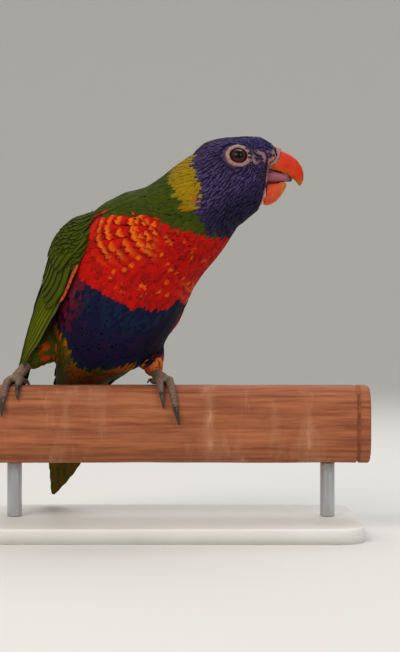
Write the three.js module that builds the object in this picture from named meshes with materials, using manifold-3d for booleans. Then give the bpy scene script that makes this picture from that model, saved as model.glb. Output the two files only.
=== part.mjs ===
// A life-size rainbow lorikeet that grips a short wooden perch on a plain display stand.
// Millimetres, +Z up. The perch runs along X, the bird's breast faces -Y, and its head is turned to +X.
// The origin is the middle of the underside of the stand's base.
import * as THREE from "three";
import { mergeVertices } from "three/addons/utils/BufferGeometryUtils.js";
import Module from "manifold-3d";

const wasm = await Module();
wasm.setup();

// Driving sizes
const GAP = 0.3; // between neighbouring pieces
const BASE_LENGTH = 204;
const BASE_DEPTH = 112;
const BASE_THICK = 8;
const BASE_CORNER = 14;
const ROD_RADIUS = 4;
const ROD_X = 86;
const ROD_LENGTH = 30;
const PERCH_LENGTH = 216;
const PERCH_SIDE = 42;
const PERCH_CORNER = 13;
const PERCH_BOTTOM = BASE_THICK + ROD_LENGTH;
const PERCH_TOP = PERCH_BOTTOM + PERCH_SIDE;
const HEAD_MIDLINE = -3.5; // Y of the head's plane of symmetry
const EYE_RADIUS = 5.2;
const LID_OPENING = 4.6;
const LID_OUTER = 7.3;

const vec = (p) => new THREE.Vector3(...p);

// Solids

// A closed geometry as a solid, with its shared corners joined and its faces turned outwards.
function solidOf(geometry) {
  const loose = geometry.index ? geometry.toNonIndexed() : geometry;
  const bare = new THREE.BufferGeometry();
  bare.setAttribute("position", loose.getAttribute("position"));
  const joined = mergeVertices(bare, 1e-4);
  const corners = joined.index.array;
  const faces = [];
  for (let i = 0; i < corners.length; i += 3) {
    const [a, b, c] = corners.slice(i, i + 3);
    if (a !== b && b !== c && a !== c) faces.push(a, b, c);
  }
  const build = (triVerts) =>
    new wasm.Manifold(
      new wasm.Mesh({ numProp: 3, vertProperties: joined.attributes.position.array, triVerts }),
    );
  const made = build(new Uint32Array(faces));
  return made.volume() > 0 ? made : build(new Uint32Array(faces.reverse()));
}

// The largest closed surface of a solid, which drops scraps and fills sealed hollows.
function largest(solid) {
  return solid.decompose().reduce((a, b) => (a.volume() > b.volume() ? a : b));
}

const join = (pieces) => pieces.reduce((a, b) => a.add(b));
const carve = (solid, tools) => tools.reduce((a, b) => a.subtract(b), solid);

// Forms

// A rounded form threaded on a curve. Each station has its centre, the radii [side, back, front] and
// the direction of its back. The ends are rounded over the shares `caps` of the length.
function form(stations, caps = [0.12, 0.12]) {
  const curve = (key) => new THREE.CatmullRomCurve3(stations.map((s) => vec(s[key])), false, "catmullrom");
  const [centre, radii, back] = ["at", "radii", "back"].map(curve);
  return (t, angle, grow = 0) => {
    const tangent = centre.getTangent(t);
    const dorsal = back.getPoint(t);
    dorsal.addScaledVector(tangent, -dorsal.dot(tangent)).normalize();
    const side = new THREE.Vector3().crossVectors(dorsal, tangent);
    const ends = [1 - t / caps[0], 1 - (1 - t) / caps[1]].map((x) => Math.max(0, x));
    const close = Math.sqrt(Math.max(0, 1 - Math.max(...ends) ** 2));
    const size = radii.getPoint(t);
    const across = (size.x + grow) * close * Math.sin(angle);
    const up = ((Math.cos(angle) > 0 ? size.y : size.z) + grow) * close * Math.cos(angle);
    return centre
      .getPoint(t)
      .addScaledVector(tangent, grow * (ends[1] - ends[0]))
      .addScaledVector(dorsal, up)
      .addScaledVector(side, across);
  };
}

// A form as a solid: a sphere's grid of vertices, bent onto it.
function solidForm(shape, sides, rings, grow = 0) {
  const ball = new THREE.SphereGeometry(1, sides, rings);
  const { position, uv } = ball.attributes;
  for (let i = 0; i < position.count; i++) {
    const share = 1 - uv.getY(i);
    const t = (share + (1 - Math.cos(Math.PI * share)) / 2) / 2;
    const p = shape(t, uv.getX(i) * 2 * Math.PI, grow);
    position.setXYZ(i, p.x, p.y, p.z);
  }
  return solidOf(ball);
}

// A curved sheet that feathers are laid on. Each station has a point on its middle line, the outward
// normal and the radius that it is bowed to. Returns a map from a (mm along), b (mm across) and
// h (mm out) to a point, with b positive towards the bird's back.
function sheet(stations, hand) {
  const curve = (key) => new THREE.CatmullRomCurve3(stations.map((s) => vec(s[key])), false, "catmullrom");
  const [line, normals, bows] = ["at", "out", "bow"].map(curve);
  const length = line.getLength();
  const map = (a, b, h) => {
    const share = Math.min(1, Math.max(0, a / length));
    const t = line.getUtoTmapping(share);
    const along = line.getTangent(t);
    const out = normals.getPoint(t);
    out.addScaledVector(along, -out.dot(along)).normalize();
    const across = new THREE.Vector3().crossVectors(along, out).multiplyScalar(hand);
    const bow = bows.getPoint(t).x;
    const turn = b / bow;
    return line
      .getPoint(t)
      .addScaledVector(along, a - share * length)
      .addScaledVector(out, (bow + h) * Math.cos(turn) - bow)
      .addScaledVector(across, (bow + h) * Math.sin(turn));
  };
  map.long = length;
  return map;
}

// Feathers

const VANE_EDGE = 0.5; // thickness at the edge of a vane, and at its shaft
const VANE_SHAFT = 0.8;
const PLUME = [
  [0, 0.5],
  [0.42, 1],
  [0.82, 0.86],
  [1, 0.16],
]; // share of the length, share of the width
const COVERT = [
  [0, 0.62],
  [0.68, 1],
  [1, 0.22],
];

// A repeatable draw between -1 and 1
const DRAW_TOP = 2147483647;
let draw = 4711;
function wobble() {
  draw = (draw * 16807) % DRAW_TOP;
  return (2 * draw) / DRAW_TOP - 1;
}

// A feather with its tip and its width a little off the pattern, as real ones are
function varied({ tip, width, ...rest }) {
  const moved = [tip[0] + 0.9 * wobble(), tip[1] + 0.5 * wobble()];
  return { ...rest, tip: moved, width: width * (1 + 0.04 * wobble()) };
}

// One vane laid on a sheet, from root [a, b] to tip [a, b], each with its height off the sheet. Its
// forward edge is raised by `tilt` for each millimetre of width, so that vanes lie like shingles.
// Both faces are split into triangles alike.
function vane(map, { root, tip, width, rise, tilt, outline }) {
  const [from, to] = [new THREE.Vector2(...root), new THREE.Vector2(...tip)];
  const across = to.clone().sub(from).normalize().rotateAround(new THREE.Vector2(), Math.PI / 2);
  const points = [];
  for (const [share, wide] of outline) {
    const middle = from.clone().lerp(to, share);
    const half = (wide * width) / 2;
    const height = rise[0] + (rise[1] - rise[0]) * share;
    const thin = 1 - 0.55 * share ** 3;
    const section = [
      [-half, VANE_EDGE],
      [0, VANE_SHAFT],
      [half, VANE_EDGE],
    ];
    for (const face of [1, -1])
      for (const [x, thick] of section) {
        const h = height - tilt * x + (face * thick * thin) / 2;
        points.push(...map(middle.x + across.x * x, middle.y + across.y * x, h).toArray());
      }
  }
  const faces = [];
  const quad = (a, b, c, d) => faces.push(a, b, c, a, c, d);
  const last = outline.length - 1;
  for (let k = 0; k < last; k++) {
    const [near, far] = [6 * k, 6 * k + 6];
    quad(near + 1, near, far, far + 1);
    quad(far + 1, far + 2, near + 2, near + 1);
    faces.push(near + 4, far + 3, near + 3, near + 4, far + 4, far + 3);
    faces.push(near + 4, near + 5, far + 4, far + 4, near + 5, far + 5);
    quad(near, near + 3, far + 3, far);
    quad(far + 2, far + 5, near + 5, near + 2);
  }
  for (const [k, flip] of [[0, false], [6 * last, true]]) {
    const cap = [k, k + 1, k + 4, k, k + 4, k + 3, k + 1, k + 2, k + 5, k + 1, k + 5, k + 4];
    faces.push(...(flip ? cap.reverse() : cap));
  }
  const blade = new THREE.BufferGeometry();
  blade.setAttribute("position", new THREE.Float32BufferAttribute(points, 3));
  blade.setIndex(faces);
  return solidOf(blade);
}

// Body: rump to neck in one form, then the head's own form. The parts are cut from their union.

const TRUNK = [
  { at: [-55.7, 37, 66], radii: [10, 6, 6], back: [-0.1, 0.95, 0.3] },
  { at: [-53.8, 33.5, 75], radii: [13, 8, 8.5], back: [-0.1, 0.95, 0.3] },
  { at: [-50.5, 27, 86.4], radii: [16, 13, 13], back: [-0.1, 0.95, 0.3] },
  { at: [-45, 18, 98.5], radii: [24, 19.5, 20], back: [-0.1, 0.96, 0.25] },
  { at: [-37.4, 10, 110.5], radii: [31, 26, 28], back: [-0.1, 0.97, 0.15] },
  { at: [-30.7, 4, 123.5], radii: [34.5, 29.5, 33], back: [-0.15, 0.98, 0.1] },
  { at: [-25, 1, 137.5], radii: [35.5, 30, 34.5], back: [-0.25, 0.96, 0.15] },
  { at: [-17, 0, 151], radii: [35.5, 30, 34.5], back: [-0.4, 0.88, 0.26] },
  { at: [-7.1, -1, 161.7], radii: [33, 29, 33], back: [-0.47, 0.73, 0.46] },
  { at: [3.4, -2, 171.8], radii: [28, 22, 32.5], back: [-0.6, 0.47, 0.65] },
  { at: [13.8, -3, 181.3], radii: [23.5, 22, 29], back: [-0.62, 0.26, 0.74] },
  { at: [24.2, -3, 189.2], radii: [19, 21.5, 25], back: [-0.56, 0.09, 0.83] },
  { at: [35, -3, 195], radii: [14, 16, 20], back: [-0.5, 0, 0.87] },
];
const HEAD = [
  { at: [13, HEAD_MIDLINE, 191], radii: [12, 13.5, 11], back: [-0.3, 0, 1] },
  { at: [22.5, HEAD_MIDLINE, 195], radii: [16.2, 18.4, 19], back: [-0.1, 0, 1] },
  { at: [30, HEAD_MIDLINE, 196], radii: [17.5, 20, 26], back: [-0.02, 0, 1] },
  { at: [38, HEAD_MIDLINE, 195.5], radii: [17.2, 21.3, 28.8], back: [0, 0, 1] },
  { at: [44.5, HEAD_MIDLINE, 195.3], radii: [14.8, 21.2, 22.5], back: [0.05, 0, 1] },
  { at: [49.5, HEAD_MIDLINE, 195.5], radii: [11.4, 18.6, 17], back: [0.05, 0, 1] },
  { at: [53.2, HEAD_MIDLINE, 195.5], radii: [8.4, 15, 14], back: [0.05, 0, 1] },
];
const BROW = [
  { at: [44, HEAD_MIDLINE, 203.5], radii: [11.5, 13.6, 8], back: [0.1, 0, 1] },
  { at: [51, HEAD_MIDLINE, 204.2], radii: [9.6, 12.1, 6], back: [0.1, 0, 1] },
  { at: [56, HEAD_MIDLINE, 205], radii: [7, 8.2, 4], back: [0.1, 0, 1] },
  { at: [59, HEAD_MIDLINE, 205.6], radii: [5, 5.4, 3], back: [0.1, 0, 1] },
];
const trunkForm = form(TRUNK, [0.1, 0.1]);
const headForm = form(HEAD, [0.16, 0.06]);
const browForm = form(BROW);
const TRUNK_GRID = [22, 20];
const HEAD_GRID = [20, 13];
const BROW_GRID = [12, 6];
const trunkWhole = solidForm(trunkForm, ...TRUNK_GRID);
const headWhole = solidForm(headForm, ...HEAD_GRID).add(solidForm(browForm, ...BROW_GRID));
const headGrown = solidForm(headForm, ...HEAD_GRID, GAP).add(solidForm(browForm, ...BROW_GRID, GAP));
const bodyGrown = solidForm(trunkForm, ...TRUNK_GRID, GAP).add(headGrown);

// Eyes, each with a socket, a ball and the ring of bare lid round it

const EYE_AXIS = vec([0.12, -0.94, 0.32]).normalize();
const EYE_FRONT = vec([36.8, -19.2, 204.4]); // on the skin, at the middle of the lids
const EYE_SINK = 3.7; // from the skin to the middle of the ball

function eyeMatrix(hand) {
  const axis = EYE_AXIS.clone();
  const centre = EYE_FRONT.clone().addScaledVector(axis, -EYE_SINK);
  if (hand > 0) {
    axis.y *= -1;
    centre.y = 2 * HEAD_MIDLINE - centre.y;
  }
  const turn = new THREE.Quaternion().setFromUnitVectors(new THREE.Vector3(0, 1, 0), axis);
  return new THREE.Matrix4().compose(centre, turn, new THREE.Vector3(1, 1, 1));
}

function eyeSocket(hand) {
  return solidOf(new THREE.SphereGeometry(EYE_RADIUS + GAP, 14, 8).applyMatrix4(eyeMatrix(hand)));
}

function eyeBall(hand) {
  return solidOf(new THREE.SphereGeometry(EYE_RADIUS, 14, 8).applyMatrix4(eyeMatrix(hand)));
}

function eyeLid(hand) {
  const seat = Math.sqrt((EYE_RADIUS + GAP) ** 2 - LID_OPENING ** 2);
  const profile = [
    [LID_OPENING, seat],
    [LID_OPENING + 0.5, seat + 1.1],
    [LID_OPENING + 1.5, seat + 1.2],
    [LID_OUTER, seat - 0.4],
    [LID_OUTER - 0.6, seat - 3],
    [LID_OPENING + 0.3, seat - 2],
    [LID_OPENING, seat],
  ].map(([x, y]) => new THREE.Vector2(x, y));
  return solidOf(new THREE.LatheGeometry(profile, 14).applyMatrix4(eyeMatrix(hand)));
}

// Bill: a fleshy cere with the nostrils, the hooked upper part, the scoop of the lower part, and the
// tongue that shows between them. The bill is open, as in a bird that nibbles.

const CERE = [
  { at: [51, HEAD_MIDLINE, 203.6], radii: [6.6, 6.6, 6.4], back: [0.2, 0, 1] },
  { at: [54.5, HEAD_MIDLINE, 204], radii: [6.6, 7, 6.2], back: [0.3, 0, 1] },
  { at: [57.4, HEAD_MIDLINE, 204.1], radii: [6.2, 6.6, 5.8], back: [0.45, 0, 0.9] },
  { at: [59.6, HEAD_MIDLINE, 203.6], radii: [5.6, 5.9, 5.2], back: [0.6, 0, 0.8] },
];
const UPPER_BILL = [
  { at: [52.5, HEAD_MIDLINE, 203.4], radii: [5.6, 6.2, 5.6], back: [0.15, 0, 1] },
  { at: [57, HEAD_MIDLINE, 202.8], radii: [5.7, 6.4, 6.3], back: [0.25, 0, 1] },
  { at: [61.6, HEAD_MIDLINE, 201.4], radii: [5.3, 6.2, 6.2], back: [0.48, 0, 0.88] },
  { at: [65.8, HEAD_MIDLINE, 199.2], radii: [4.5, 5.4, 5.4], back: [0.68, 0, 0.73] },
  { at: [68.8, HEAD_MIDLINE, 196.2], radii: [3.3, 4.1, 4.2], back: [0.9, 0, 0.44] },
  { at: [70.4, HEAD_MIDLINE, 192.8], radii: [1.9, 2.4, 2.5], back: [1, 0, 0.1] },
  { at: [70.6, HEAD_MIDLINE, 189], radii: [0.5, 0.6, 0.6], back: [1, 0, -0.1] },
];
const PALATE = [
  { at: [52, HEAD_MIDLINE, 196.5], radii: [4, 2.6, 3], back: [0.1, 0, 1] },
  { at: [58, HEAD_MIDLINE, 196], radii: [3.9, 2.8, 3], back: [0.3, 0, 1] },
  { at: [62.5, HEAD_MIDLINE, 194.8], radii: [3, 2.4, 3], back: [0.6, 0, 0.8] },
  { at: [65.6, HEAD_MIDLINE, 193.2], radii: [1.4, 1.2, 2], back: [0.8, 0, 0.6] },
];
const LOWER_BILL = [
  { at: [47.5, HEAD_MIDLINE, 184], radii: [6.2, 6.4, 5.6], back: [-0.35, 0, 0.94] },
  { at: [53, HEAD_MIDLINE, 185.2], radii: [6.2, 6.2, 6.4], back: [-0.35, 0, 0.94] },
  { at: [57, HEAD_MIDLINE, 187], radii: [5.2, 4.4, 5], back: [-0.4, 0, 0.92] },
  { at: [60.4, HEAD_MIDLINE, 189], radii: [3.6, 2.4, 3], back: [-0.45, 0, 0.9] },
  { at: [63, HEAD_MIDLINE, 190.8], radii: [1.7, 1, 1.2], back: [-0.5, 0, 0.87] },
];
const SCOOP = [
  { at: [50, HEAD_MIDLINE, 192.6], radii: [4, 2, 3], back: [0, 0, 1] },
  { at: [54, HEAD_MIDLINE, 192.4], radii: [4.4, 2.4, 3.4], back: [0, 0, 1] },
  { at: [58, HEAD_MIDLINE, 192.4], radii: [3.7, 2, 2.8], back: [0, 0, 1] },
  { at: [61.6, HEAD_MIDLINE, 192.4], radii: [1.8, 1.4, 1.6], back: [0, 0, 1] },
];
const TONGUE = [
  { at: [48, HEAD_MIDLINE, 192.2], radii: [3, 2.4, 2.4], back: [0, 0, 1] },
  { at: [54, HEAD_MIDLINE, 192.8], radii: [3, 2.3, 2.3], back: [0, 0, 1] },
  { at: [59, HEAD_MIDLINE, 193.2], radii: [2.9, 2.2, 2.2], back: [0, 0, 1] },
  { at: [63, HEAD_MIDLINE, 193.2], radii: [2.4, 1.9, 1.9], back: [0, 0, 1] },
  { at: [65.6, HEAD_MIDLINE, 192.8], radii: [1.7, 1.4, 1.4], back: [0, 0, 1] },
];
const BILL_GRID = [12, 10];
const [cereForm, upperForm, palateForm, lowerForm, scoopForm, tongueForm] = [
  CERE,
  UPPER_BILL,
  PALATE,
  LOWER_BILL,
  SCOOP,
  TONGUE,
].map((stations) => form(stations));

function nostril(hand) {
  const pit = new THREE.SphereGeometry(1, 10, 8);
  pit.scale(1.1, 1.3, 0.8);
  pit.translate(56.4, HEAD_MIDLINE + hand * 4.3, 208.4);
  return solidOf(pit);
}

const upperGrown = solidForm(upperForm, ...BILL_GRID, GAP);
const lowerGrown = solidForm(lowerForm, ...BILL_GRID, GAP);
const cereGrown = solidForm(cereForm, 12, 6, GAP);
const palate = solidForm(palateForm, 10, 6);
const scoop = solidForm(scoopForm, 10, 6);
const cere = largest(carve(solidForm(cereForm, 12, 6), [headGrown, nostril(1), nostril(-1)]));
const upperBill = largest(carve(solidForm(upperForm, ...BILL_GRID), [cereGrown, headGrown, palate]));
const lowerBill = largest(carve(solidForm(lowerForm, ...BILL_GRID), [headGrown, scoop]));
const tongue = largest(
  carve(solidForm(tongueForm, 10, 8), [headGrown, lowerGrown.subtract(scoop), upperGrown.subtract(palate)]),
);

// The body's cuts: thin slabs square to the spine, at shares of the trunk's length

function slab(point, normal, thick, size) {
  const board = new THREE.BoxGeometry(size, size, thick);
  const turn = new THREE.Quaternion().setFromUnitVectors(new THREE.Vector3(0, 0, 1), normal);
  return solidOf(board.applyMatrix4(new THREE.Matrix4().compose(point, turn, new THREE.Vector3(1, 1, 1))));
}

const NECK_CUT = { at: vec([4, -2, 172]), normal: vec([0.78, -0.1, 0.62]).normalize() };
const HEAD_CUT = { at: vec([18, -3, 183]), normal: vec([0.92, 0, 0.38]).normalize() };

// Legs: feathered thighs, then the bare shank and its pad on the perch

const THIGHS = {
  right: [
    { at: [-47, 14, 113], radii: [16, 13, 14], back: [0, 1, 0.3] },
    { at: [-59, 13, 106.5], radii: [12, 11, 12], back: [0, 1, 0.3] },
    { at: [-69.5, 11, 99.4], radii: [7.8, 8, 8.5], back: [0, 1, 0.3] },
    { at: [-76.6, 8.5, 93.8], radii: [5.2, 5.2, 5.4], back: [0, 1, 0.3] },
    { at: [-80, 7, 91], radii: [3.8, 3.8, 3.8], back: [0, 1, 0.3] },
  ],
  left: [
    { at: [-18, 10, 110], radii: [14, 12, 14], back: [0, 1, 0.1] },
    { at: [-12.8, 10, 99.5], radii: [9.4, 9, 9], back: [0, 1, 0.1] },
    { at: [-10.6, 9, 92.4], radii: [6.5, 6.4, 6.6], back: [0, 1, 0.1] },
    { at: [-9.7, 8, 87.4], radii: [4.8, 4.6, 4.8], back: [0, 1, 0.1] },
    { at: [-9.3, 7, 85], radii: [3.6, 3.4, 3.6], back: [0, 1, 0.1] },
  ],
};
const SHANK_RADIUS = 2.9;
const PAD = [5.4, 5.8, 2.7]; // half sizes of the ball of the foot
const FEET = {
  right: { ankle: [-79, 7.5, 92], x: -85.6, y: -0.5, inward: 1, lean: 0 },
  left: { ankle: [-9.4, 8, 86.8], x: -3.6, y: -5, inward: -1, lean: -4 },
};

function thigh(side, grow = 0) {
  return solidForm(form(THIGHS[side]), 14, 10, grow);
}

function pad(side, grow) {
  const { x, y } = FEET[side];
  const ball = new THREE.SphereGeometry(1, 10, 6);
  ball.scale(...PAD.map((r) => r + grow));
  ball.translate(x, y, PERCH_TOP + GAP + PAD[2]);
  return solidOf(ball);
}

function foot(side, grow = 0) {
  const { ankle, x, y } = FEET[side];
  const [start, end] = [vec(ankle), vec([x, y + 1, PERCH_TOP + GAP + PAD[2] + 0.4])];
  const shank = [0, 0.35, 0.7, 1].map((share) => ({
    at: start.clone().lerp(end, share).toArray(),
    radii: [1, 1, 1].map((r) => r * (SHANK_RADIUS + 0.5 * Math.abs(share - 0.5))),
    back: [0, 0.5, 1],
  }));
  return solidForm(form(shank), 9, 6, grow).add(pad(side, grow));
}

// Toes: two in front and two behind, bent round the perch. Lengths run from the ball of the foot,
// spread is how far the tip stands inward (+) or outward (-) of the root, and root is the toe's own offset.
const TOES = [
  { name: "1_rear_inner", way: -1, root: 2.6, length: 12, spread: 3.5, radius: 2, claw: 6 },
  { name: "2_front_inner", way: 1, root: 2.7, length: 15, spread: 1, radius: 2.1, claw: 8 },
  { name: "3_front_outer", way: 1, root: -2.7, length: 22.5, spread: -2, radius: 2.3, claw: 9 },
  { name: "4_rear_outer", way: -1, root: -2.8, length: 20, spread: -5, radius: 2.2, claw: 8 },
];

// The point at distance d round the perch from the middle of its top, positive to the front, and the
// way out of the wood there.
function onPerch(d, off) {
  const flat = PERCH_SIDE / 2 - PERCH_CORNER;
  const beyond = Math.max(0, Math.abs(d) - flat);
  const turn = Math.min(beyond / PERCH_CORNER, Math.PI / 2);
  const down = Math.max(0, beyond - (PERCH_CORNER * Math.PI) / 2);
  const side = -Math.sign(d);
  const reach = Math.min(Math.abs(d), flat) + (PERCH_CORNER + off) * Math.sin(turn);
  const z = PERCH_TOP - PERCH_CORNER + (PERCH_CORNER + off) * Math.cos(turn) - down;
  return { y: side * reach, z, out: [0, side * Math.sin(turn), Math.cos(turn)] };
}

// Stations of a toe or a claw from share s0 to s1 of its own length.
function digit(side, toe, span, width, lift, count) {
  const { x, y, inward, lean } = FEET[side];
  const whole = toe.length + toe.claw;
  const start = -y * toe.way;
  return Array.from({ length: count }, (_, i) => {
    const share = i / (count - 1);
    const s = span[0] + (span[1] - span[0]) * share;
    const radius = width(share);
    const place = onPerch(toe.way * (start + s), GAP + radius + lift(share));
    const offset = toe.root + (toe.spread + lean * toe.way) * (s / whole) ** 1.3;
    return { at: [x + inward * offset, place.y, place.z], radii: [radius, radius, radius], back: place.out };
  });
}

const TOE_GRID = [8, 9];
const CLAW_GRID = [7, 6];

function toeForm(side, toe) {
  const knuckles = (share) => toe.radius * (1 - 0.28 * share) * (1 + 0.07 * Math.cos(share * Math.PI * 6));
  return form(digit(side, toe, [2.5, toe.length], knuckles, () => 0, 9), [0.1, 0.12]);
}

function clawForm(side, toe) {
  const taper = (share) => toe.radius * 0.64 * (1 - share) ** 0.75 + 0.22;
  const arch = (share) => 1.3 * Math.sin(share * Math.PI * 0.8);
  return form(digit(side, toe, [toe.length - 1.4, toe.length + toe.claw], taper, arch, 6), [0.08, 0.06]);
}

// Wings: a curved sheet on each flank. The feathers' roots sink in a core over the arm.

const WINGS = {
  right: {
    hand: 1,
    sheet: [
      { at: [-45, -9, 172], out: [-0.7, -0.35, 0.62], bow: [27, 0, 0] },
      { at: [-60.5, -6, 156.5], out: [-0.88, -0.3, 0.36], bow: [30, 0, 0] },
      { at: [-67, -2, 139], out: [-0.93, -0.28, 0.22], bow: [31, 0, 0] },
      { at: [-74, 5, 123.5], out: [-0.95, -0.15, 0.25], bow: [31, 0, 0] },
      { at: [-80, 15, 107], out: [-0.96, 0.05, 0.25], bow: [31, 0, 0] },
      { at: [-86, 27, 82], out: [-0.93, 0.25, 0.2], bow: [30, 0, 0] },
      { at: [-92, 36, 56], out: [-0.9, 0.35, 0.18], bow: [30, 0, 0] },
    ],
  },
  left: {
    hand: -1,
    sheet: [
      { at: [0, 32.5, 153], out: [0.2, 0.95, -0.22], bow: [27, 0, 0] },
      { at: [-7, 34, 136], out: [0.3, 0.93, -0.22], bow: [30, 0, 0] },
      { at: [-14, 35.5, 123], out: [0.36, 0.93, -0.1], bow: [31, 0, 0] },
      { at: [-31, 40, 109.5], out: [0.34, 0.92, 0.05], bow: [31, 0, 0] },
      { at: [-49, 45, 94.5], out: [0.22, 0.94, 0.2], bow: [31, 0, 0] },
      { at: [-59.5, 50.5, 76], out: [0.12, 0.95, 0.25], bow: [30, 0, 0] },
      { at: [-63, 54.5, 53], out: [0.1, 0.96, 0.2], bow: [30, 0, 0] },
      { at: [-66, 57, 37], out: [0.1, 0.96, 0.2], bow: [30, 0, 0] },
    ],
  },
};
const PRIMARIES = 7;
const SECONDARIES = 7;
const GREATER_COVERTS = 7;
const MEDIAN_COVERTS = 5;

function wingFeathers(map) {
  const feathers = [];
  for (let i = 0; i < PRIMARIES; i++) {
    const short = i === 0 ? 5 : Math.max(0, i - 1.5) * 9.6;
    feathers.push({
      root: [22 + i, -17 + i * 2.7],
      tip: [map.long - 1 - short, -6 + i * 2.8],
      width: 13 + 0.3 * i,
      rise: [0.4, -0.6],
      tilt: 0.3,
      outline: PLUME,
    });
  }
  for (let j = 0; j < SECONDARIES; j++)
    feathers.push({
      root: [26 - j, 3 + j * 3.6],
      tip: [81 - j * 3.2, 13 + j * 3.3],
      width: 15.5,
      rise: [0.9, 0.5],
      tilt: 0.26,
      outline: PLUME,
    });
  for (let j = 0; j < GREATER_COVERTS; j++)
    feathers.push({
      root: [16 - 0.6 * j, -19 + j * 6.8],
      tip: [52 - 2 * j, -16 + j * 7.2],
      width: 13,
      rise: [1.6, 2.3],
      tilt: 0.22,
      outline: COVERT,
    });
  for (let j = 0; j < MEDIAN_COVERTS; j++)
    feathers.push({
      root: [6, -16 + j * 9],
      tip: [32 - 1.4 * j, -15 + j * 9.2],
      width: 14,
      rise: [2.4, 3.6],
      tilt: 0.2,
      outline: COVERT,
    });
  return feathers.map((feather) => vane(map, varied(feather)));
}

// The arm under the coverts: a slab on the sheet, thick at the bend of the wing and thin behind.
function wingCore(map) {
  const rows = [
    [-5, 0.25, 1],
    [0, 0.72, 2.8],
    [8, 0.94, 3.6],
    [18, 1, 3.2],
    [28, 0.98, 2.2],
    [38, 0.9, 1.2],
    [46, 0.6, 0.3],
  ];
  const [lead, trail, depth] = [-23, 27, 7];
  const shape = (t, angle) => {
    const place = Math.min(t, 1 - 1e-9) * (rows.length - 1);
    const k = Math.floor(place);
    const [a, share, top] = rows[k].map((x, n) => x + (rows[k + 1][n] - x) * (place - k));
    const round = t <= 0 || t >= 1 ? 0 : 1;
    const b = (lead + trail) / 2 + ((trail - lead) / 2) * share * Math.sin(angle) * round;
    const h = Math.cos(angle) > 0 ? top * Math.cos(angle) : depth * share * Math.cos(angle);
    return map(a, b, h * round);
  };
  return solidForm(shape, 14, 9);
}

// Tail: long pointed feathers in a closed fan, the middle pair longest, with coverts over the roots

const TAIL = [
  { at: [-50, 31, 88], out: [-0.1, 0.95, 0.3], bow: [26, 0, 0] },
  { at: [-54.5, 37, 70], out: [-0.1, 0.97, 0.2], bow: [28, 0, 0] },
  { at: [-59, 42, 50], out: [-0.1, 0.98, 0.15], bow: [32, 0, 0] },
  { at: [-63.8, 46, 31], out: [-0.1, 0.98, 0.15], bow: [36, 0, 0] },
  { at: [-69.5, 49, 14.4], out: [-0.1, 0.98, 0.15], bow: [40, 0, 0] },
];
const TAIL_PAIRS = 5;
const TAIL_CORE = [
  { at: [-50, 29, 90], radii: [14, 7, 8], back: [-0.1, 0.95, 0.3] },
  { at: [-53, 34.5, 76], radii: [12.5, 6, 6.5], back: [-0.1, 0.97, 0.2] },
  { at: [-57.5, 39.5, 60], radii: [10, 3.6, 4.2], back: [-0.1, 0.98, 0.15] },
  { at: [-62, 43.5, 43], radii: [6, 1.4, 1.6], back: [-0.1, 0.98, 0.15] },
];

function tailFeathers(map) {
  const feathers = [];
  for (let pair = TAIL_PAIRS; pair >= 0; pair--)
    for (const side of pair ? [-1, 1] : [0])
      feathers.push({
        root: [8, side * pair * 1.5],
        tip: [map.long - pair * 6.2, side * (pair * 2.4 + 0.2)],
        width: 11.5 - 0.3 * pair,
        rise: [0.6 - pair * 0.1, 0.9 - pair * 0.72],
        tilt: side * -0.07,
        outline: PLUME,
      });
  for (const [over, length] of [[1, 34], [-1, 40]])
    for (let k = -2; k <= 2; k++)
      feathers.push({
        root: [4, k * 4.2],
        tip: [length - 3.4 * Math.abs(k), k * 4],
        width: 10,
        rise: [over * 3.4, over * 3 - (over < 0 ? 2.4 : 0)],
        tilt: 0.06 * Math.sign(k) * over,
        outline: COVERT,
      });
  return feathers.map((feather) => vane(map, varied(feather)));
}

// Perch and stand

function roundedSquare(side, corner) {
  const h = side / 2;
  const outline = new THREE.Shape();
  for (let k = 0; k < 4; k++) {
    const turn = (k * Math.PI) / 2;
    const centre = new THREE.Vector2(h - corner, h - corner).rotateAround(new THREE.Vector2(), turn);
    outline.absarc(centre.x, centre.y, corner, turn, turn + Math.PI / 2, false);
  }
  return outline;
}

// A straight piece of the perch from x0 to x1.
function timber(x0, x1, side, corner) {
  const bar = new THREE.ExtrudeGeometry(roundedSquare(side, corner), {
    depth: x1 - x0,
    bevelEnabled: false,
    curveSegments: 6,
  });
  bar.rotateX(Math.PI / 2).rotateZ(Math.PI / 2);
  bar.translate(x0, 0, PERCH_TOP - PERCH_SIDE / 2);
  return solidOf(bar);
}

const GROOVE = { x: 100.6, width: 1.8, depth: 1.1 }; // the saw line round the right end

function perch() {
  const end = PERCH_LENGTH / 2;
  const { x, width, depth } = GROOVE;
  const ring = timber(x, x + width, PERCH_SIDE + 2, PERCH_CORNER + 1);
  const kept = timber(x - 1, x + width + 1, PERCH_SIDE - 2 * depth, PERCH_CORNER - depth);
  return timber(-end, end, PERCH_SIDE, PERCH_CORNER).subtract(ring.subtract(kept));
}

function perchClearance() {
  return timber(-PERCH_LENGTH / 2 - 1, PERCH_LENGTH / 2 + 1, PERCH_SIDE + 2 * GAP, PERCH_CORNER + GAP);
}

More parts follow.
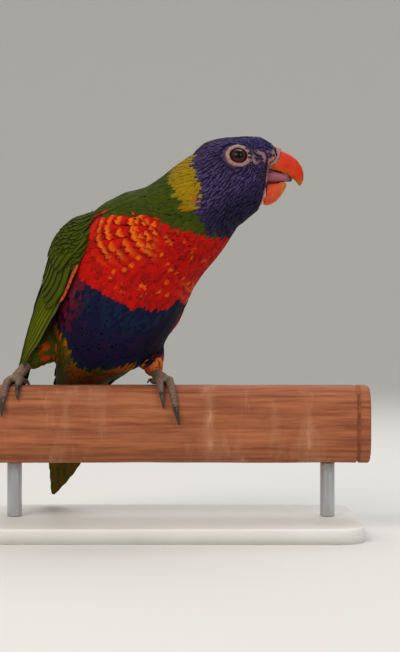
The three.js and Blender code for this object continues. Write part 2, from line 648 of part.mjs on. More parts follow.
function standBase() {
  const [w, d] = [BASE_LENGTH / 2 - BASE_CORNER, BASE_DEPTH / 2 - BASE_CORNER];
  const outline = new THREE.Shape();
  outline.absarc(w, d, BASE_CORNER, 0, Math.PI / 2, false);
  outline.absarc(-w, d, BASE_CORNER, Math.PI / 2, Math.PI, false);
  outline.absarc(-w, -d, BASE_CORNER, Math.PI, 1.5 * Math.PI, false);
  outline.absarc(w, -d, BASE_CORNER, 1.5 * Math.PI, 2 * Math.PI, false);
  const edge = 1.2;
  const plate = new THREE.ExtrudeGeometry(outline, {
    depth: BASE_THICK - edge,
    bevelEnabled: true,
    bevelThickness: edge,
    bevelSize: edge,
    bevelOffset: -edge,
    bevelSegments: 1,
    curveSegments: 6,
  });
  // The bevel below the plate is left out, so that the plate rests on its whole outline.
  const floor = slab(vec([0, 0, -5]), vec([0, 0, 1]), 10, 2 * BASE_LENGTH);
  return solidOf(plate).subtract(floor);
}

function standRod(x) {
  const rod = new THREE.CylinderGeometry(ROD_RADIUS, ROD_RADIUS, ROD_LENGTH - 2 * GAP, 20);
  rod.rotateX(Math.PI / 2);
  rod.translate(x, 0, BASE_THICK + ROD_LENGTH / 2);
  return solidOf(rod);
}

// Assembly

const CUT_SIZE = 400; // of a cutting slab, more than the whole bird
const thinCut = ({ at, normal }) => slab(at, normal, GAP, CUT_SIZE);
const allBeyond = ({ at, normal }) =>
  slab(at.clone().addScaledVector(normal, CUT_SIZE / 2), normal, CUT_SIZE, CUT_SIZE);
const wood = perchClearance();
const [neckSlab, headSlab] = [NECK_CUT, HEAD_CUT].map(thinCut);
const [beyondNeck, beyondHead] = [NECK_CUT, HEAD_CUT].map(allBeyond);
const lids = [-1, 1].map(eyeLid);
const sockets = [-1, 1].map(eyeSocket);
const whole = carve(trunkWhole.add(headWhole), [wood]);
const torso = largest(carve(whole, [beyondNeck, neckSlab]));
const neck = largest(carve(whole.intersect(beyondNeck), [beyondHead, headSlab, neckSlab]));
const headCore = whole.intersect(beyondHead).subtract(headSlab);
const head = largest(carve(join([headCore, ...lids]), sockets));

const colours = {
  green: [0x3f7a1e, 0.7],
  red: [0xc4301a, 0.7],
  violet: [0x3b3a78, 0.7],
  navy: [0x22264f, 0.7],
  olive: [0x6d6b1d, 0.7],
  orange: [0xe0501c, 0.35],
  skin: [0x8a6a66, 0.6],
  tongue: [0x9a5560, 0.5],
  eye: [0x3a1410, 0.1],
  scale: [0x5c5148, 0.6],
  claw: [0x2b2320, 0.35],
  timber: [0xa8603c, 0.75],
  plate: [0xf0eee8, 0.5],
  steel: [0xb8bcc0, 0.3, 0.9],
};
const group = new THREE.Group();

// Adds a solid to the group as a named mesh.
function add(name, solid, colour) {
  const mesh = solid.getMesh();
  const geometry = new THREE.BufferGeometry();
  geometry.setAttribute("position", new THREE.BufferAttribute(mesh.vertProperties, 3));
  geometry.setIndex(new THREE.BufferAttribute(mesh.triVerts, 1));
  geometry.computeVertexNormals();
  const [color, roughness, metalness = 0] = colours[colour];
  const material = new THREE.MeshStandardMaterial({ color, roughness, metalness });
  const piece = new THREE.Mesh(geometry, material);
  piece.name = name;
  group.add(piece);
}

add("torso", torso, "red");
add("neck", neck, "green");
add("head", head, "violet");
add("cere", cere, "skin");
add("bill_upper", upperBill, "orange");
add("bill_lower", lowerBill, "orange");
add("tongue", tongue, "tongue");
add("eye_right", eyeBall(-1), "eye");
add("eye_left", eyeBall(1), "eye");

const legsGrown = [];
for (const side of ["right", "left"]) {
  const leg = carve(thigh(side), [bodyGrown, wood]);
  const shank = carve(foot(side), [thigh(side, GAP), bodyGrown]);
  add("thigh_" + side, largest(leg), "green");
  add("foot_" + side, largest(shank), "scale");
  const footGrown = foot(side, GAP);
  legsGrown.push(thigh(side, GAP), footGrown);
  for (const toe of TOES) {
    const shape = toeForm(side, toe);
    const label = `${side}_${toe.name}`;
    add("toe_" + label, largest(solidForm(shape, ...TOE_GRID).subtract(footGrown)), "scale");
    const claw = solidForm(clawForm(side, toe), ...CLAW_GRID);
    add("claw_" + label, largest(claw.subtract(solidForm(shape, ...TOE_GRID, GAP))), "claw");
  }
}

const tailMap = sheet(TAIL, 1);
const tailCoreForm = form(TAIL_CORE);
const tailWhole = join([solidForm(tailCoreForm, 16, 10), ...tailFeathers(tailMap)]);
const tail = largest(carve(tailWhole, [bodyGrown, wood, ...legsGrown]));
add("tail", tail, "olive");

for (const side of ["right", "left"]) {
  const map = sheet(WINGS[side].sheet, WINGS[side].hand);
  const wing = join([wingCore(map), ...wingFeathers(map)]);
  add("wing_" + side, largest(carve(wing, [bodyGrown, wood, ...legsGrown])), "green");
}

add("perch", perch(), "timber");
add("stand_base", standBase(), "plate");
add("stand_rod_right", standRod(-ROD_X), "steel");
add("stand_rod_left", standRod(ROD_X), "steel");

export default group;
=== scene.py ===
# A life-size rainbow lorikeet gripping a short length of red timber, held up on a plain display stand.
# Metres, Z up, in the frame of the solids. The perch runs along X, the breast faces -Y and the head +X.
import math

import bmesh
import bpy
import numpy as np
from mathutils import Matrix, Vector, noise
from mathutils.bvhtree import BVHTree


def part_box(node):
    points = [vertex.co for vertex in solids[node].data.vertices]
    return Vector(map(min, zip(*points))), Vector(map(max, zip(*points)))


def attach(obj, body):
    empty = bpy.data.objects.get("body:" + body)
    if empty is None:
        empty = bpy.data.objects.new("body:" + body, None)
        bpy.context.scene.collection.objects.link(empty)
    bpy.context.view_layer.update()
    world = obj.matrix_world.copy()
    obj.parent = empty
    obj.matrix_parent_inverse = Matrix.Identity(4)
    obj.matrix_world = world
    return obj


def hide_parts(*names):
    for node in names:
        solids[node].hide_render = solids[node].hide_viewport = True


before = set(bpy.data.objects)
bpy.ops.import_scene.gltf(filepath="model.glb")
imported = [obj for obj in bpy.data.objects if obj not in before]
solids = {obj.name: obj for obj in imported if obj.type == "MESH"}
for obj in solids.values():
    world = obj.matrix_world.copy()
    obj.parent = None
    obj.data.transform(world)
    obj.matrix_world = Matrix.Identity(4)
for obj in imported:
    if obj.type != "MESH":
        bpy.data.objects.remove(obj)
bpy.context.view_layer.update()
scene = bpy.context.scene

# Room: a round cove of seamless pale paper under large soft lamps, seen by a level camera from in
# front. The model stands in its middle. The paper is matt, so it gives soft shadows and no glare.
CAMERA_AT = (0.016, -0.85, 0.1125)
VIEW_HEIGHT = 0.3586  # seen at the perch's middle line, over the picture's long side
SENSOR = 36
camera = bpy.data.objects.new("camera", bpy.data.cameras.new("camera"))
scene.collection.objects.link(camera)
camera.location = CAMERA_AT
camera.rotation_euler = (math.pi / 2, 0, 0)
camera.data.sensor_width = SENSOR
camera.data.lens = SENSOR * abs(CAMERA_AT[1]) / VIEW_HEIGHT
camera.data.clip_start = 0.01
scene.camera = camera
scene.view_settings.view_transform = "Standard"


def linear(colour):
    """An sRGB hex value as linear red, green and blue."""
    parts = [int(colour[i : i + 2], 16) / 255 for i in (1, 3, 5)]
    return np.array([p / 12.92 if p <= 0.04045 else ((p + 0.055) / 1.055) ** 2.4 for p in parts])


def shade(colour):
    return (*linear(colour), 1)


def material(name, settings):
    """A new material, its node tree and its shader, with values set on the shader's own sockets."""
    made = bpy.data.materials.new(name)
    made.use_nodes = True
    shader = made.node_tree.nodes["Principled BSDF"]
    for socket, value in settings.items():
        shader.inputs[socket].default_value = value
    return made, made.node_tree, shader


def lamp(name, place, aim, size, power, colour):
    """A square soft lamp, which the camera doesn't see."""
    light = bpy.data.lights.new(name, "AREA")
    light.size, light.energy, light.color = size, power, linear(colour)
    made = bpy.data.objects.new(name, light)
    made.location = place
    made.rotation_euler = (Vector(aim) - Vector(place)).to_track_quat("-Z", "Y").to_euler()
    made.visible_camera = False
    scene.collection.objects.link(made)


BIRD_MIDDLE = (-0.01, 0, 0.15)
lamp("lamp_key", (-0.6, -0.9, 1.0), BIRD_MIDDLE, 0.8, 9, "#fff6ea")
lamp("lamp_fill", (1.1, -1.0, 0.95), BIRD_MIDDLE, 0.7, 6, "#f2f5ff")
lamp("lamp_top", (0.2, 0.6, 1.2), BIRD_MIDDLE, 0.8, 7, "#ffffff")
world = bpy.data.worlds.new("soft_room")
world.use_nodes = True
scene.world = world
world.node_tree.nodes["Background"].inputs["Color"].default_value = shade("#eeeeec")
world.node_tree.nodes["Background"].inputs["Strength"].default_value = 0.6


def mesh_object(name, points, faces):
    """A mesh object from an array of points and an array of faces that all have the same corners."""
    faces = np.asarray(faces, dtype=np.int32)
    mesh = bpy.data.meshes.new(name)
    mesh.vertices.add(len(points))
    mesh.vertices.foreach_set("co", np.ravel(points).astype(np.float32))
    mesh.loops.add(faces.size)
    mesh.polygons.add(len(faces))
    mesh.polygons.foreach_set("loop_start", np.arange(0, faces.size, faces.shape[1], dtype=np.int32))
    mesh.polygons.foreach_set("vertices", faces.ravel())
    mesh.update(calc_edges=True)
    mesh.shade_smooth()
    made = bpy.data.objects.new(name, mesh)
    scene.collection.objects.link(made)
    return made


def turn_steps(count):
    """Angles that share out a whole turn."""
    return np.linspace(0, 2 * math.pi, count, endpoint=False)


def ring_faces(count, around, closed=False):
    """Faces between rings of points that follow each other, and on to the first again if closed."""
    index = np.arange(count * around).reshape(count, around)
    if closed:
        index = np.vstack([index, index[:1]])
    turned = np.roll(index, -1, 1)
    return np.stack([index[:-1], turned[:-1], turned[1:], index[1:]], 2).reshape(-1, 4)


COVE_FLOOR, COVE_BEND, COVE_RISE = 2.0, 0.9, 0.3  # radius of the flat floor, of the bend, and wall height
COVE_SIDES = 96
bend = np.linspace(0, math.pi / 2, 14)
cove_profile = [(0.0005, 0.0), (0.4, 0.0), (1.2, 0.0)]
cove_profile += [(COVE_FLOOR + COVE_BEND * math.sin(x), COVE_BEND - COVE_BEND * math.cos(x)) for x in bend]
cove_profile += [(COVE_FLOOR + COVE_BEND, COVE_BEND + COVE_RISE)]
cove_points = [(r * math.cos(t), r * math.sin(t), z) for r, z in cove_profile for t in turn_steps(COVE_SIDES)]
cove = mesh_object("paper_cove", cove_points, ring_faces(len(cove_profile), COVE_SIDES))
paper, _, _ = material("matt_background_paper", {"Base Color": shade("#dcdbd7"), "Roughness": 0.95})
cove.data.materials.append(paper)

# Display stand: a plate of white-painted board with an eased edge, and two turned steel rods that
# stand in it and carry the perch from below. The paint is satin, with faint roller stipple.
MM = 0.001
STIPPLE = 0.9 * MM


def add(tree, kind, settings=(), links=()):
    """Adds a node with its settings, and links its inputs from the sockets given."""
    made = tree.nodes.new("ShaderNode" + kind)
    for key, value in dict(settings).items():
        if isinstance(key, int) or key in made.inputs:
            made.inputs[key].default_value = value
        else:
            setattr(made, key, value)
    for key, source in dict(links).items():
        tree.links.new(source, made.inputs[key])
    return made


painted, tree, shader = material("white_satin_paint", {"Roughness": 0.42})
place = add(tree, "TexCoord").outputs["Object"]
stipple = add(tree, "TexNoise", {"Scale": 1 / STIPPLE, "Detail": 2.0}, {"Vector": place})
cloud = add(tree, "TexNoise", {"Scale": 18.0, "Detail": 3.0}, {"Vector": place})
tint = add(tree, "ValToRGB", {}, {"Fac": cloud.outputs["Fac"]}).color_ramp
tint.elements[0].color, tint.elements[1].color = shade("#dddcd6"), shade("#efeeea")
tree.links.new(tree.nodes["Color Ramp"].outputs["Color"], shader.inputs["Base Color"])
rough = {"Strength": 0.12, "Distance": 0.0002}
bump = add(tree, "Bump", rough, {"Height": stipple.outputs["Fac"]})
tree.links.new(bump.outputs["Normal"], shader.inputs["Normal"])

# Turned steel: a grey metal shine, drawn out into fine rings by the tool
TURNING = 0.25 * MM  # pitch of the tool marks, drawn coarse enough to show
turned = {"Base Color": shade("#b9bcc0"), "Metallic": 1.0, "Roughness": 0.3}
steel, tree, shader = material("turned_steel", turned)
place = add(tree, "TexCoord").outputs["Object"]
marks = {"bands_direction": "Z", "Scale": 0.3 / TURNING, "Distortion": 0.4}
rings = add(tree, "TexWave", marks, {"Vector": place})
bump = add(tree, "Bump", {"Strength": 0.15, "Distance": 0.0001}, {"Height": rings.outputs["Fac"]})
tree.links.new(bump.outputs["Normal"], shader.inputs["Normal"])


def loft(name, rings):
    """A closed surface through rings of points, an array of ring, point and coordinate."""
    count, around = rings.shape[:2]
    faces = ring_faces(count, around).tolist()
    faces += [list(range(around))[::-1], [(count - 1) * around + j for j in range(around)]]
    mesh = bpy.data.meshes.new(name)
    mesh.from_pydata(rings.reshape(-1, 3).tolist(), [], faces)
    mesh.shade_smooth()
    made = bpy.data.objects.new(name, mesh)
    scene.collection.objects.link(made)
    outward(made)
    return made


def outward(piece):
    """Turns a closed piece's faces to the outside."""
    work = bmesh.new()
    work.from_mesh(piece.data)
    bmesh.ops.recalc_face_normals(work, faces=work.faces)
    work.to_mesh(piece.data)
    work.free()


def dress(piece, finish, slot, *replaced):
    """Gives a piece its material, sets it on the root body and names the solids it replaces. slot is not
    used.
    """
    piece.data.materials.append(finish)
    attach(piece, "root")
    if replaced:
        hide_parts(*replaced)


def rounded_rectangle(width, depth, corner, per_corner):
    """Points round a rectangle with round corners, from the middle of the +X side."""
    points = []
    for quarter, (sx, sy) in enumerate([(1, 1), (-1, 1), (-1, -1), (1, -1)]):
        centre = (sx * (width / 2 - corner), sy * (depth / 2 - corner))
        for step in range(per_corner):
            turn = math.pi / 2 * (quarter + step / (per_corner - 1))
            points.append((centre[0] + corner * math.cos(turn), centre[1] + corner * math.sin(turn)))
    return np.array(points)


plate_low, plate_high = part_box("stand_base")
PLATE_EDGE, PLATE_CORNER = 1.2 * MM, 14 * MM
PLATE_TOP_INSETS = (20 * MM, 45 * MM)  # rings that share out the flat top
plate_size = plate_high - plate_low
plate_rings = []
levels = [(0, 0.0)]
for turn in np.linspace(0, math.pi / 2, 6):
    levels.append((PLATE_EDGE * (1 - math.cos(turn)), plate_size.z - PLATE_EDGE * (1 - math.sin(turn))))
levels += [(inset, plate_size.z) for inset in PLATE_TOP_INSETS]
for inset, height in levels:
    corner = max(PLATE_CORNER - inset, 1 * MM)
    ring = rounded_rectangle(plate_size.x - 2 * inset, plate_size.y - 2 * inset, corner, 12)
    plate_rings.append([(x, y, plate_low.z + height) for x, y in ring])
plate = loft("display_plate", np.array(plate_rings))
dress(plate, painted, "stand_paint", "stand_base")

ROD_CHAMFER, ROD_SIDES = 0.5 * MM, 48
for side in ("right", "left"):
    low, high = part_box("stand_rod_" + side)
    middle, radius = (low + high) / 2, (high.x - low.x) / 2
    rod_rings = []
    for z, r in [(low.z, 0.96), (low.z + ROD_CHAMFER, 1), (high.z - ROD_CHAMFER, 1), (high.z, 0.96)]:
        wide = r * radius
        turns = turn_steps(ROD_SIDES)
        rod_rings.append([(middle.x + wide * math.cos(a), middle.y + wide * math.sin(a), z) for a in turns])
    rod = loft("steel_rod_" + side, np.array(rod_rings))
    dress(rod, steel, "rod_steel", "stand_rod_" + side)

# Perch: a sawn length of red hardwood rail with rounded arrises, scuffed pale by claws and bills.
# It was sawn, left to weather and never varnished, and a saw line runs round it near one end.
PERCH_SIDE, PERCH_CORNER, PERCH_MIDDLE_Z = 42 * MM, 13 * MM, 59 * MM
GROOVE = (100.6 * MM, 102.4 * MM)
GROOVE_DEPTH = 1.1 * MM
perch_low, perch_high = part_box("perch")


def hollow(x, y, z):
    """How far the weathered wood lies below its sawn face: long soft dips, and small dents."""
    long_dip = noise.noise(Vector((x * 30, y * 90, z * 90)))
    dent = noise.noise(Vector((x * 210, y * 300, z * 300)))
    return MM * (0.35 * max(0, long_dip + 0.1) + 0.45 * max(0, dent - 0.28))


section = rounded_rectangle(PERCH_SIDE, PERCH_SIDE, PERCH_CORNER, 16)
flat_steps = []
for i, point in enumerate(section):  # the flats between corners get points of their own
    following = section[(i + 1) % len(section)]
    gap = np.linalg.norm(following - point)
    flat_steps += [point + (following - point) * k / 8 for k in range(8)] if gap > 4 * MM else [point]
section = np.array(flat_steps)
END_ROUND = 0.8 * MM
end_rings = [(0, 0.02), (0, 0.3), (0, 0.6), (0, 0.85), (0, 0.955), (0.25, 0.975), (1, 1)]
stations = [(perch_low.x + a * END_ROUND, s) for a, s in end_rings]
inner = np.arange(perch_low.x + 2 * END_ROUND, perch_high.x - 1.5 * END_ROUND, 1.1 * MM)
groove_scale = 1 - 2 * GROOVE_DEPTH / PERCH_SIDE
groove_steps = [(GROOVE[0], 1), (GROOVE[0] + 0.15 * MM, groove_scale), (GROOVE[1] - 0.15 * MM, groove_scale)]
groove_steps += [(GROOVE[1], 1)]
stations += [(x, 1) for x in inner if not GROOVE[0] - 0.4 * MM < x < GROOVE[1] + 0.4 * MM]
stations += groove_steps + [(perch_high.x - a * END_ROUND, s) for a, s in reversed(end_rings)]
stations.sort(key=lambda item: item[0])
left_end = [item for item in stations if item[0] == perch_low.x]
right_end = [item for item in stations if item[0] == perch_high.x]
between = [item for item in stations if perch_low.x < item[0] < perch_high.x]
stations = sorted(left_end, key=lambda item: item[1]) + between
stations += sorted(right_end, key=lambda item: -item[1])
perch_rings = []
for x, scale in stations:
    on_side = scale > 0.9  # or else on a sawn end
    ring = []
    for y, z in section * scale:
        rough_end = 0.2 * MM * abs(noise.noise(Vector((3, y * 260, z * 90))))
        depth = hollow(x, y, z) if on_side else rough_end
        shrink = 1 - depth / math.hypot(y, z) if on_side else 1
        inward = 0 if on_side else math.copysign(depth, -x)
        ring.append((x + inward, y * shrink, PERCH_MIDDLE_Z + z * shrink))
    perch_rings.append(ring)
perch = loft("perch_rail", np.array(perch_rings))

# The wood's colour: red-brown with grain along X, and pale bruises across it.
GRAIN = 1.1 * MM
timber, tree, shader = material("weathered_red_hardwood", {"Roughness": 0.72, "Specular IOR Level": 0.3})
place = add(tree, "TexCoord").outputs["Object"]
along_x = add(tree, "Mapping", {"Scale": (0.06, 1.0, 1.0)}, {"Vector": place}).outputs["Vector"]
across_x = add(tree, "Mapping", {"Scale": (1.0, 0.5, 0.28)}, {"Vector": place}).outputs["Vector"]
grain = add(tree, "TexNoise", {"Scale": 0.5 / GRAIN, "Detail": 6.0, "Roughness": 0.6}, {"Vector": along_x})
patches = add(tree, "TexNoise", {"Scale": 42.0, "Detail": 5.0, "Roughness": 0.6}, {"Vector": across_x})
specks = add(tree, "TexNoise", {"Scale": 240.0, "Detail": 3.0, "Roughness": 0.6}, {"Vector": across_x})
base = add(tree, "ValToRGB", {}, {"Fac": grain.outputs["Fac"]})
base.color_ramp.elements[0].position, base.color_ramp.elements[1].position = 0.33, 0.68
base.color_ramp.elements[0].color, base.color_ramp.elements[1].color = shade("#7e4228"), shade("#b06a44")
scuff = add(tree, "MapRange", {"From Min": 0.52, "From Max": 0.72}, {"Value": patches.outputs["Fac"]})
fleck = add(tree, "MapRange", {"From Min": 0.56, "From Max": 0.7}, {"Value": specks.outputs["Fac"]})
worn = add(tree, "Math", {"operation": "MULTIPLY"}, {0: scuff.outputs[0], 1: fleck.outputs[0]})
scuffed = {"operation": "MULTIPLY_ADD", 1: 0.45}
worn_more = add(tree, "Math", scuffed, {0: scuff.outputs[0], 2: worn.outputs[0]})
rgb = {"data_type": "RGBA"}
pale = add(tree, "Mix", {**rgb, 7: shade("#c2906f")}, {0: worn_more.outputs[0], 6: base.outputs["Color"]})
tree.links.new(pale.outputs[2], shader.inputs["Base Color"])
bump = add(tree, "Bump", {"Strength": 0.5, "Distance": 0.0004}, {"Height": grain.outputs["Fac"]})
tree.links.new(bump.outputs["Normal"], shader.inputs["Normal"])
dress(perch, timber, "perch_wood", "perch")

# Body skin: one stretched hide over the breast, back, neck, head and thighs, under all the feathers.
# It is the solids' own shape, melted together, smoothed and let in by the depth of the plumage.
SKIN_VOXEL = 1.2 * MM
SEAM_FILL = 0.25 * MM  # pushes the solids' cut faces together before they are melted into one


def applied(piece):
    """Puts what a piece's modifiers make into its mesh."""
    seen = piece.evaluated_get(bpy.context.evaluated_depsgraph_get())
    made = bpy.data.meshes.new_from_object(seen)
    piece.modifiers.clear()
    piece.data = made


def melted(name, sources, voxel, rounds, fill=SEAM_FILL):
    """One smooth closed surface made from copies of the solids named."""
    work = bmesh.new()
    for source in sources:
        work.from_mesh(solids[source].data)
    bmesh.ops.remove_doubles(work, verts=work.verts, dist=1e-6)
    work.normal_update()
    for vertex in work.verts:
        vertex.co += vertex.normal * fill
    mesh = bpy.data.meshes.new(name)
    work.to_mesh(mesh)
    work.free()
    made = bpy.data.objects.new(name, mesh)
    scene.collection.objects.link(made)
    remesh = made.modifiers.new("melt", "REMESH")
    remesh.mode, remesh.voxel_size = "VOXEL", voxel
    smooth = made.modifiers.new("smooth", "SMOOTH")
    smooth.factor, smooth.iterations = 0.5, rounds
    applied(made)
    made.data.materials.clear()
    made.data.shade_smooth()
    return made


def points_of(piece):
    points = np.zeros(len(piece.data.vertices) * 3, np.float32)
    piece.data.vertices.foreach_get("co", points)
    return points.reshape(-1, 3).astype(float)


def normals_of(piece):
    normals = np.zeros(len(piece.data.vertices) * 3, np.float32)
    piece.data.vertices.foreach_get("normal", normals)
    return normals.reshape(-1, 3).astype(float)


# The spine that markings and feathers are placed by: a line from the vent to the root of the bill, in
# millimetres, with the way to the bird's back at each point of it.
SPINE = [
    ((-55.7, 37, 66), (-0.1, 0.95, 0.3)),
    ((-53.8, 33.5, 75), (-0.1, 0.95, 0.3)),
    ((-50.5, 27, 86.4), (-0.1, 0.95, 0.3)),
    ((-45, 18, 98.5), (-0.1, 0.96, 0.25)),
    ((-37.4, 10, 110.5), (-0.1, 0.97, 0.15)),
    ((-30.7, 4, 123.5), (-0.15, 0.98, 0.1)),
    ((-25, 1, 137.5), (-0.25, 0.96, 0.15)),
    ((-17, 0, 151), (-0.4, 0.88, 0.26)),
    ((-7.1, -1, 161.7), (-0.47, 0.73, 0.46)),
    ((3.4, -2, 171.8), (-0.6, 0.47, 0.65)),
    ((13.8, -3, 181.3), (-0.62, 0.26, 0.74)),
    ((24, -3.2, 188.6), (-0.5, 0.09, 0.85)),
    ((34, -3.5, 194), (-0.35, 0, 0.93)),
    ((44, -3.5, 197.6), (-0.25, 0, 0.97)),
    ((54, -3.5, 200.4), (-0.2, 0, 0.98)),
]


def spline(knots, share):
    """Points and slopes of a smooth curve through the knots, at shares of its length from 0 to 1."""
    knots = np.asarray(knots, float)
    padded = np.vstack([2 * knots[0] - knots[1], knots, 2 * knots[-1] - knots[-2]])
    place = np.clip(np.asarray(share, float) * (len(knots) - 1), 0, len(knots) - 1 - 1e-9)
    k = np.floor(place).astype(int)
    w = (place - k)[:, None]
    before, start, end, after = (padded[k + i] for i in range(4))
    slope_in, slope_out = (end - before) / 2, (after - start) / 2
    square = 3 * (end - start) - 2 * slope_in - slope_out
    cube = 2 * (start - end) + slope_in + slope_out
    return start + slope_in * w + square * w**2 + cube * w**3, slope_in + 2 * square * w + 3 * cube * w**2


def unit(vectors):
    return vectors / np.linalg.norm(vectors, axis=-1, keepdims=True)


def axis_of(knots, steps=1600):
    """A curve's points in metres, its length so far in millimetres, and its forward, back and side ways."""
    share = np.linspace(0, 1, steps)
    line, slope = spline([k[0] for k in knots], share)
    ahead = unit(slope)
    back = spline([k[1] for k in knots], share)[0]
    back = unit(back - (back * ahead).sum(1)[:, None] * ahead)
    length = np.concatenate([[0], np.cumsum(np.linalg.norm(np.diff(line, axis=0), axis=1))])
    return {"line": line * MM, "length": length, "ahead": ahead, "back": back, "side": np.cross(back, ahead)}


spine = axis_of(SPINE)


def body_place(points, axis=spine):
    """Where points are on the body: millimetres along its axis, and degrees round it from the back."""
    along, angle = np.zeros(len(points)), np.zeros(len(points))
    line = axis["line"][::4]
    for start in range(0, len(points), 4000):
        some = points[start : start + 4000]
        near = 4 * ((some[:, None, :] - line[None]) ** 2).sum(2).argmin(1)
        out = some - axis["line"][near]
        along[start : start + 4000] = axis["length"][near]
        sideways = (out * axis["side"][near]).sum(1)
        angle[start : start + 4000] = np.degrees(np.arctan2(sideways, (out * axis["back"][near]).sum(1)))
    return along, angle


def ease(low, high, value):
    """0 below low, 1 above high, and smooth between."""
    share = np.clip((np.asarray(value, float) - low) / (high - low), 0, 1)
    return share * share * (3 - 2 * share)


def coat_depth(along):
    """How deep the plumage is, in metres: deepest on the breast, and least on the face."""
    depth = np.interp(along, [0, 20, 60, 130, 150, 172, 186, 191], [1.2, 1.4, 1.7, 1.7, 1.5, 1.1, 0.8, 0.7])
    return MM * depth


def lore(along, angle):
    """1 on the bare skin between the eye and the bill, and 0 away from it."""
    off_axis = (np.abs(angle) - 66) / 24
    return ease(178.5, 183, along) * (1 - ease(0.5, 0.95, np.abs(off_axis)))


skin = melted("body_skin", ["torso", "neck", "head", "thigh_right", "thigh_left"], SKIN_VOXEL, 7)
skin_points, skin_normals = points_of(skin), normals_of(skin)
skin_along, skin_angle = body_place(skin_points)
let_in = coat_depth(skin_along) * (1 - 0.8 * lore(skin_along, skin_angle)) + SEAM_FILL
skin_points -= skin_normals * let_in[:, None]
skin.data.vertices.foreach_set("co", skin_points.astype(np.float32).ravel())
skin.data.update()


def site_of(piece):
    """Unwraps a piece by its own shape onto the map that colours are baked to. Returns a search tree of
    its faces with each face's place on that map, so that a feather's patch goes where its root is."""
    piece.data.uv_layers.new(name="OFBake")
    bpy.context.view_layer.objects.active = piece
    piece.select_set(True)
    bpy.ops.object.mode_set(mode="EDIT")
    bpy.ops.mesh.select_all(action="SELECT")
    bpy.ops.uv.smart_project(angle_limit=1.15, island_margin=0.002)
    bpy.ops.object.mode_set(mode="OBJECT")
    piece.select_set(False)
    uvs = np.zeros(len(piece.data.loops) * 2, np.float32)
    piece.data.uv_layers["OFBake"].data.foreach_get("uv", uvs)
    faces = [tuple(face.vertices) for face in piece.data.polygons]
    starts = [face.loop_start for face in piece.data.polygons]
    middles = np.add.reduceat(uvs.reshape(-1, 2), starts) / np.array([[len(face)] for face in faces])
    return {"tree": BVHTree.FromPolygons([Vector(p) for p in points_of(piece)], faces), "places": middles}


skin_site = site_of(skin)

# Markings: the colours of the plumage by place on the body. The skin under the feathers carries the
# same ones. Feathers are pigmented keratin, and their greens and blues come from its fine structure.
def tones(**colours):
    """Linear colours by name."""
    return {name: linear(colour) for name, colour in colours.items()}


PIGMENT = tones(
    crown="#1f1636", crown_streak="#6c5c90", nape="#261c3c", brow="#18194a", throat="#150e20",
    throat_streak="#37325a", collar="#947600", collar_low="#a45806", collar_edge="#4c5600",
    mantle="#3c4802", mantle_dark="#263002", red="#ba0c02", red_deep="#840808", bar="#e87004",
    bar_edge="#2c0c04", navy="#0e0f32", purple="#200e30", teal="#0c243a", flank="#840e14", black="#08070e",
    vent="#8a4a06", vent_olive="#4a4a06", lore="#9a7370", gape="#b07268",
)


def blend(under, over, weight):
    """One colour laid over another, with a weight from 0 to 1 for each point."""
    return under + (np.asarray(over) - under) * np.asarray(weight)[:, None]


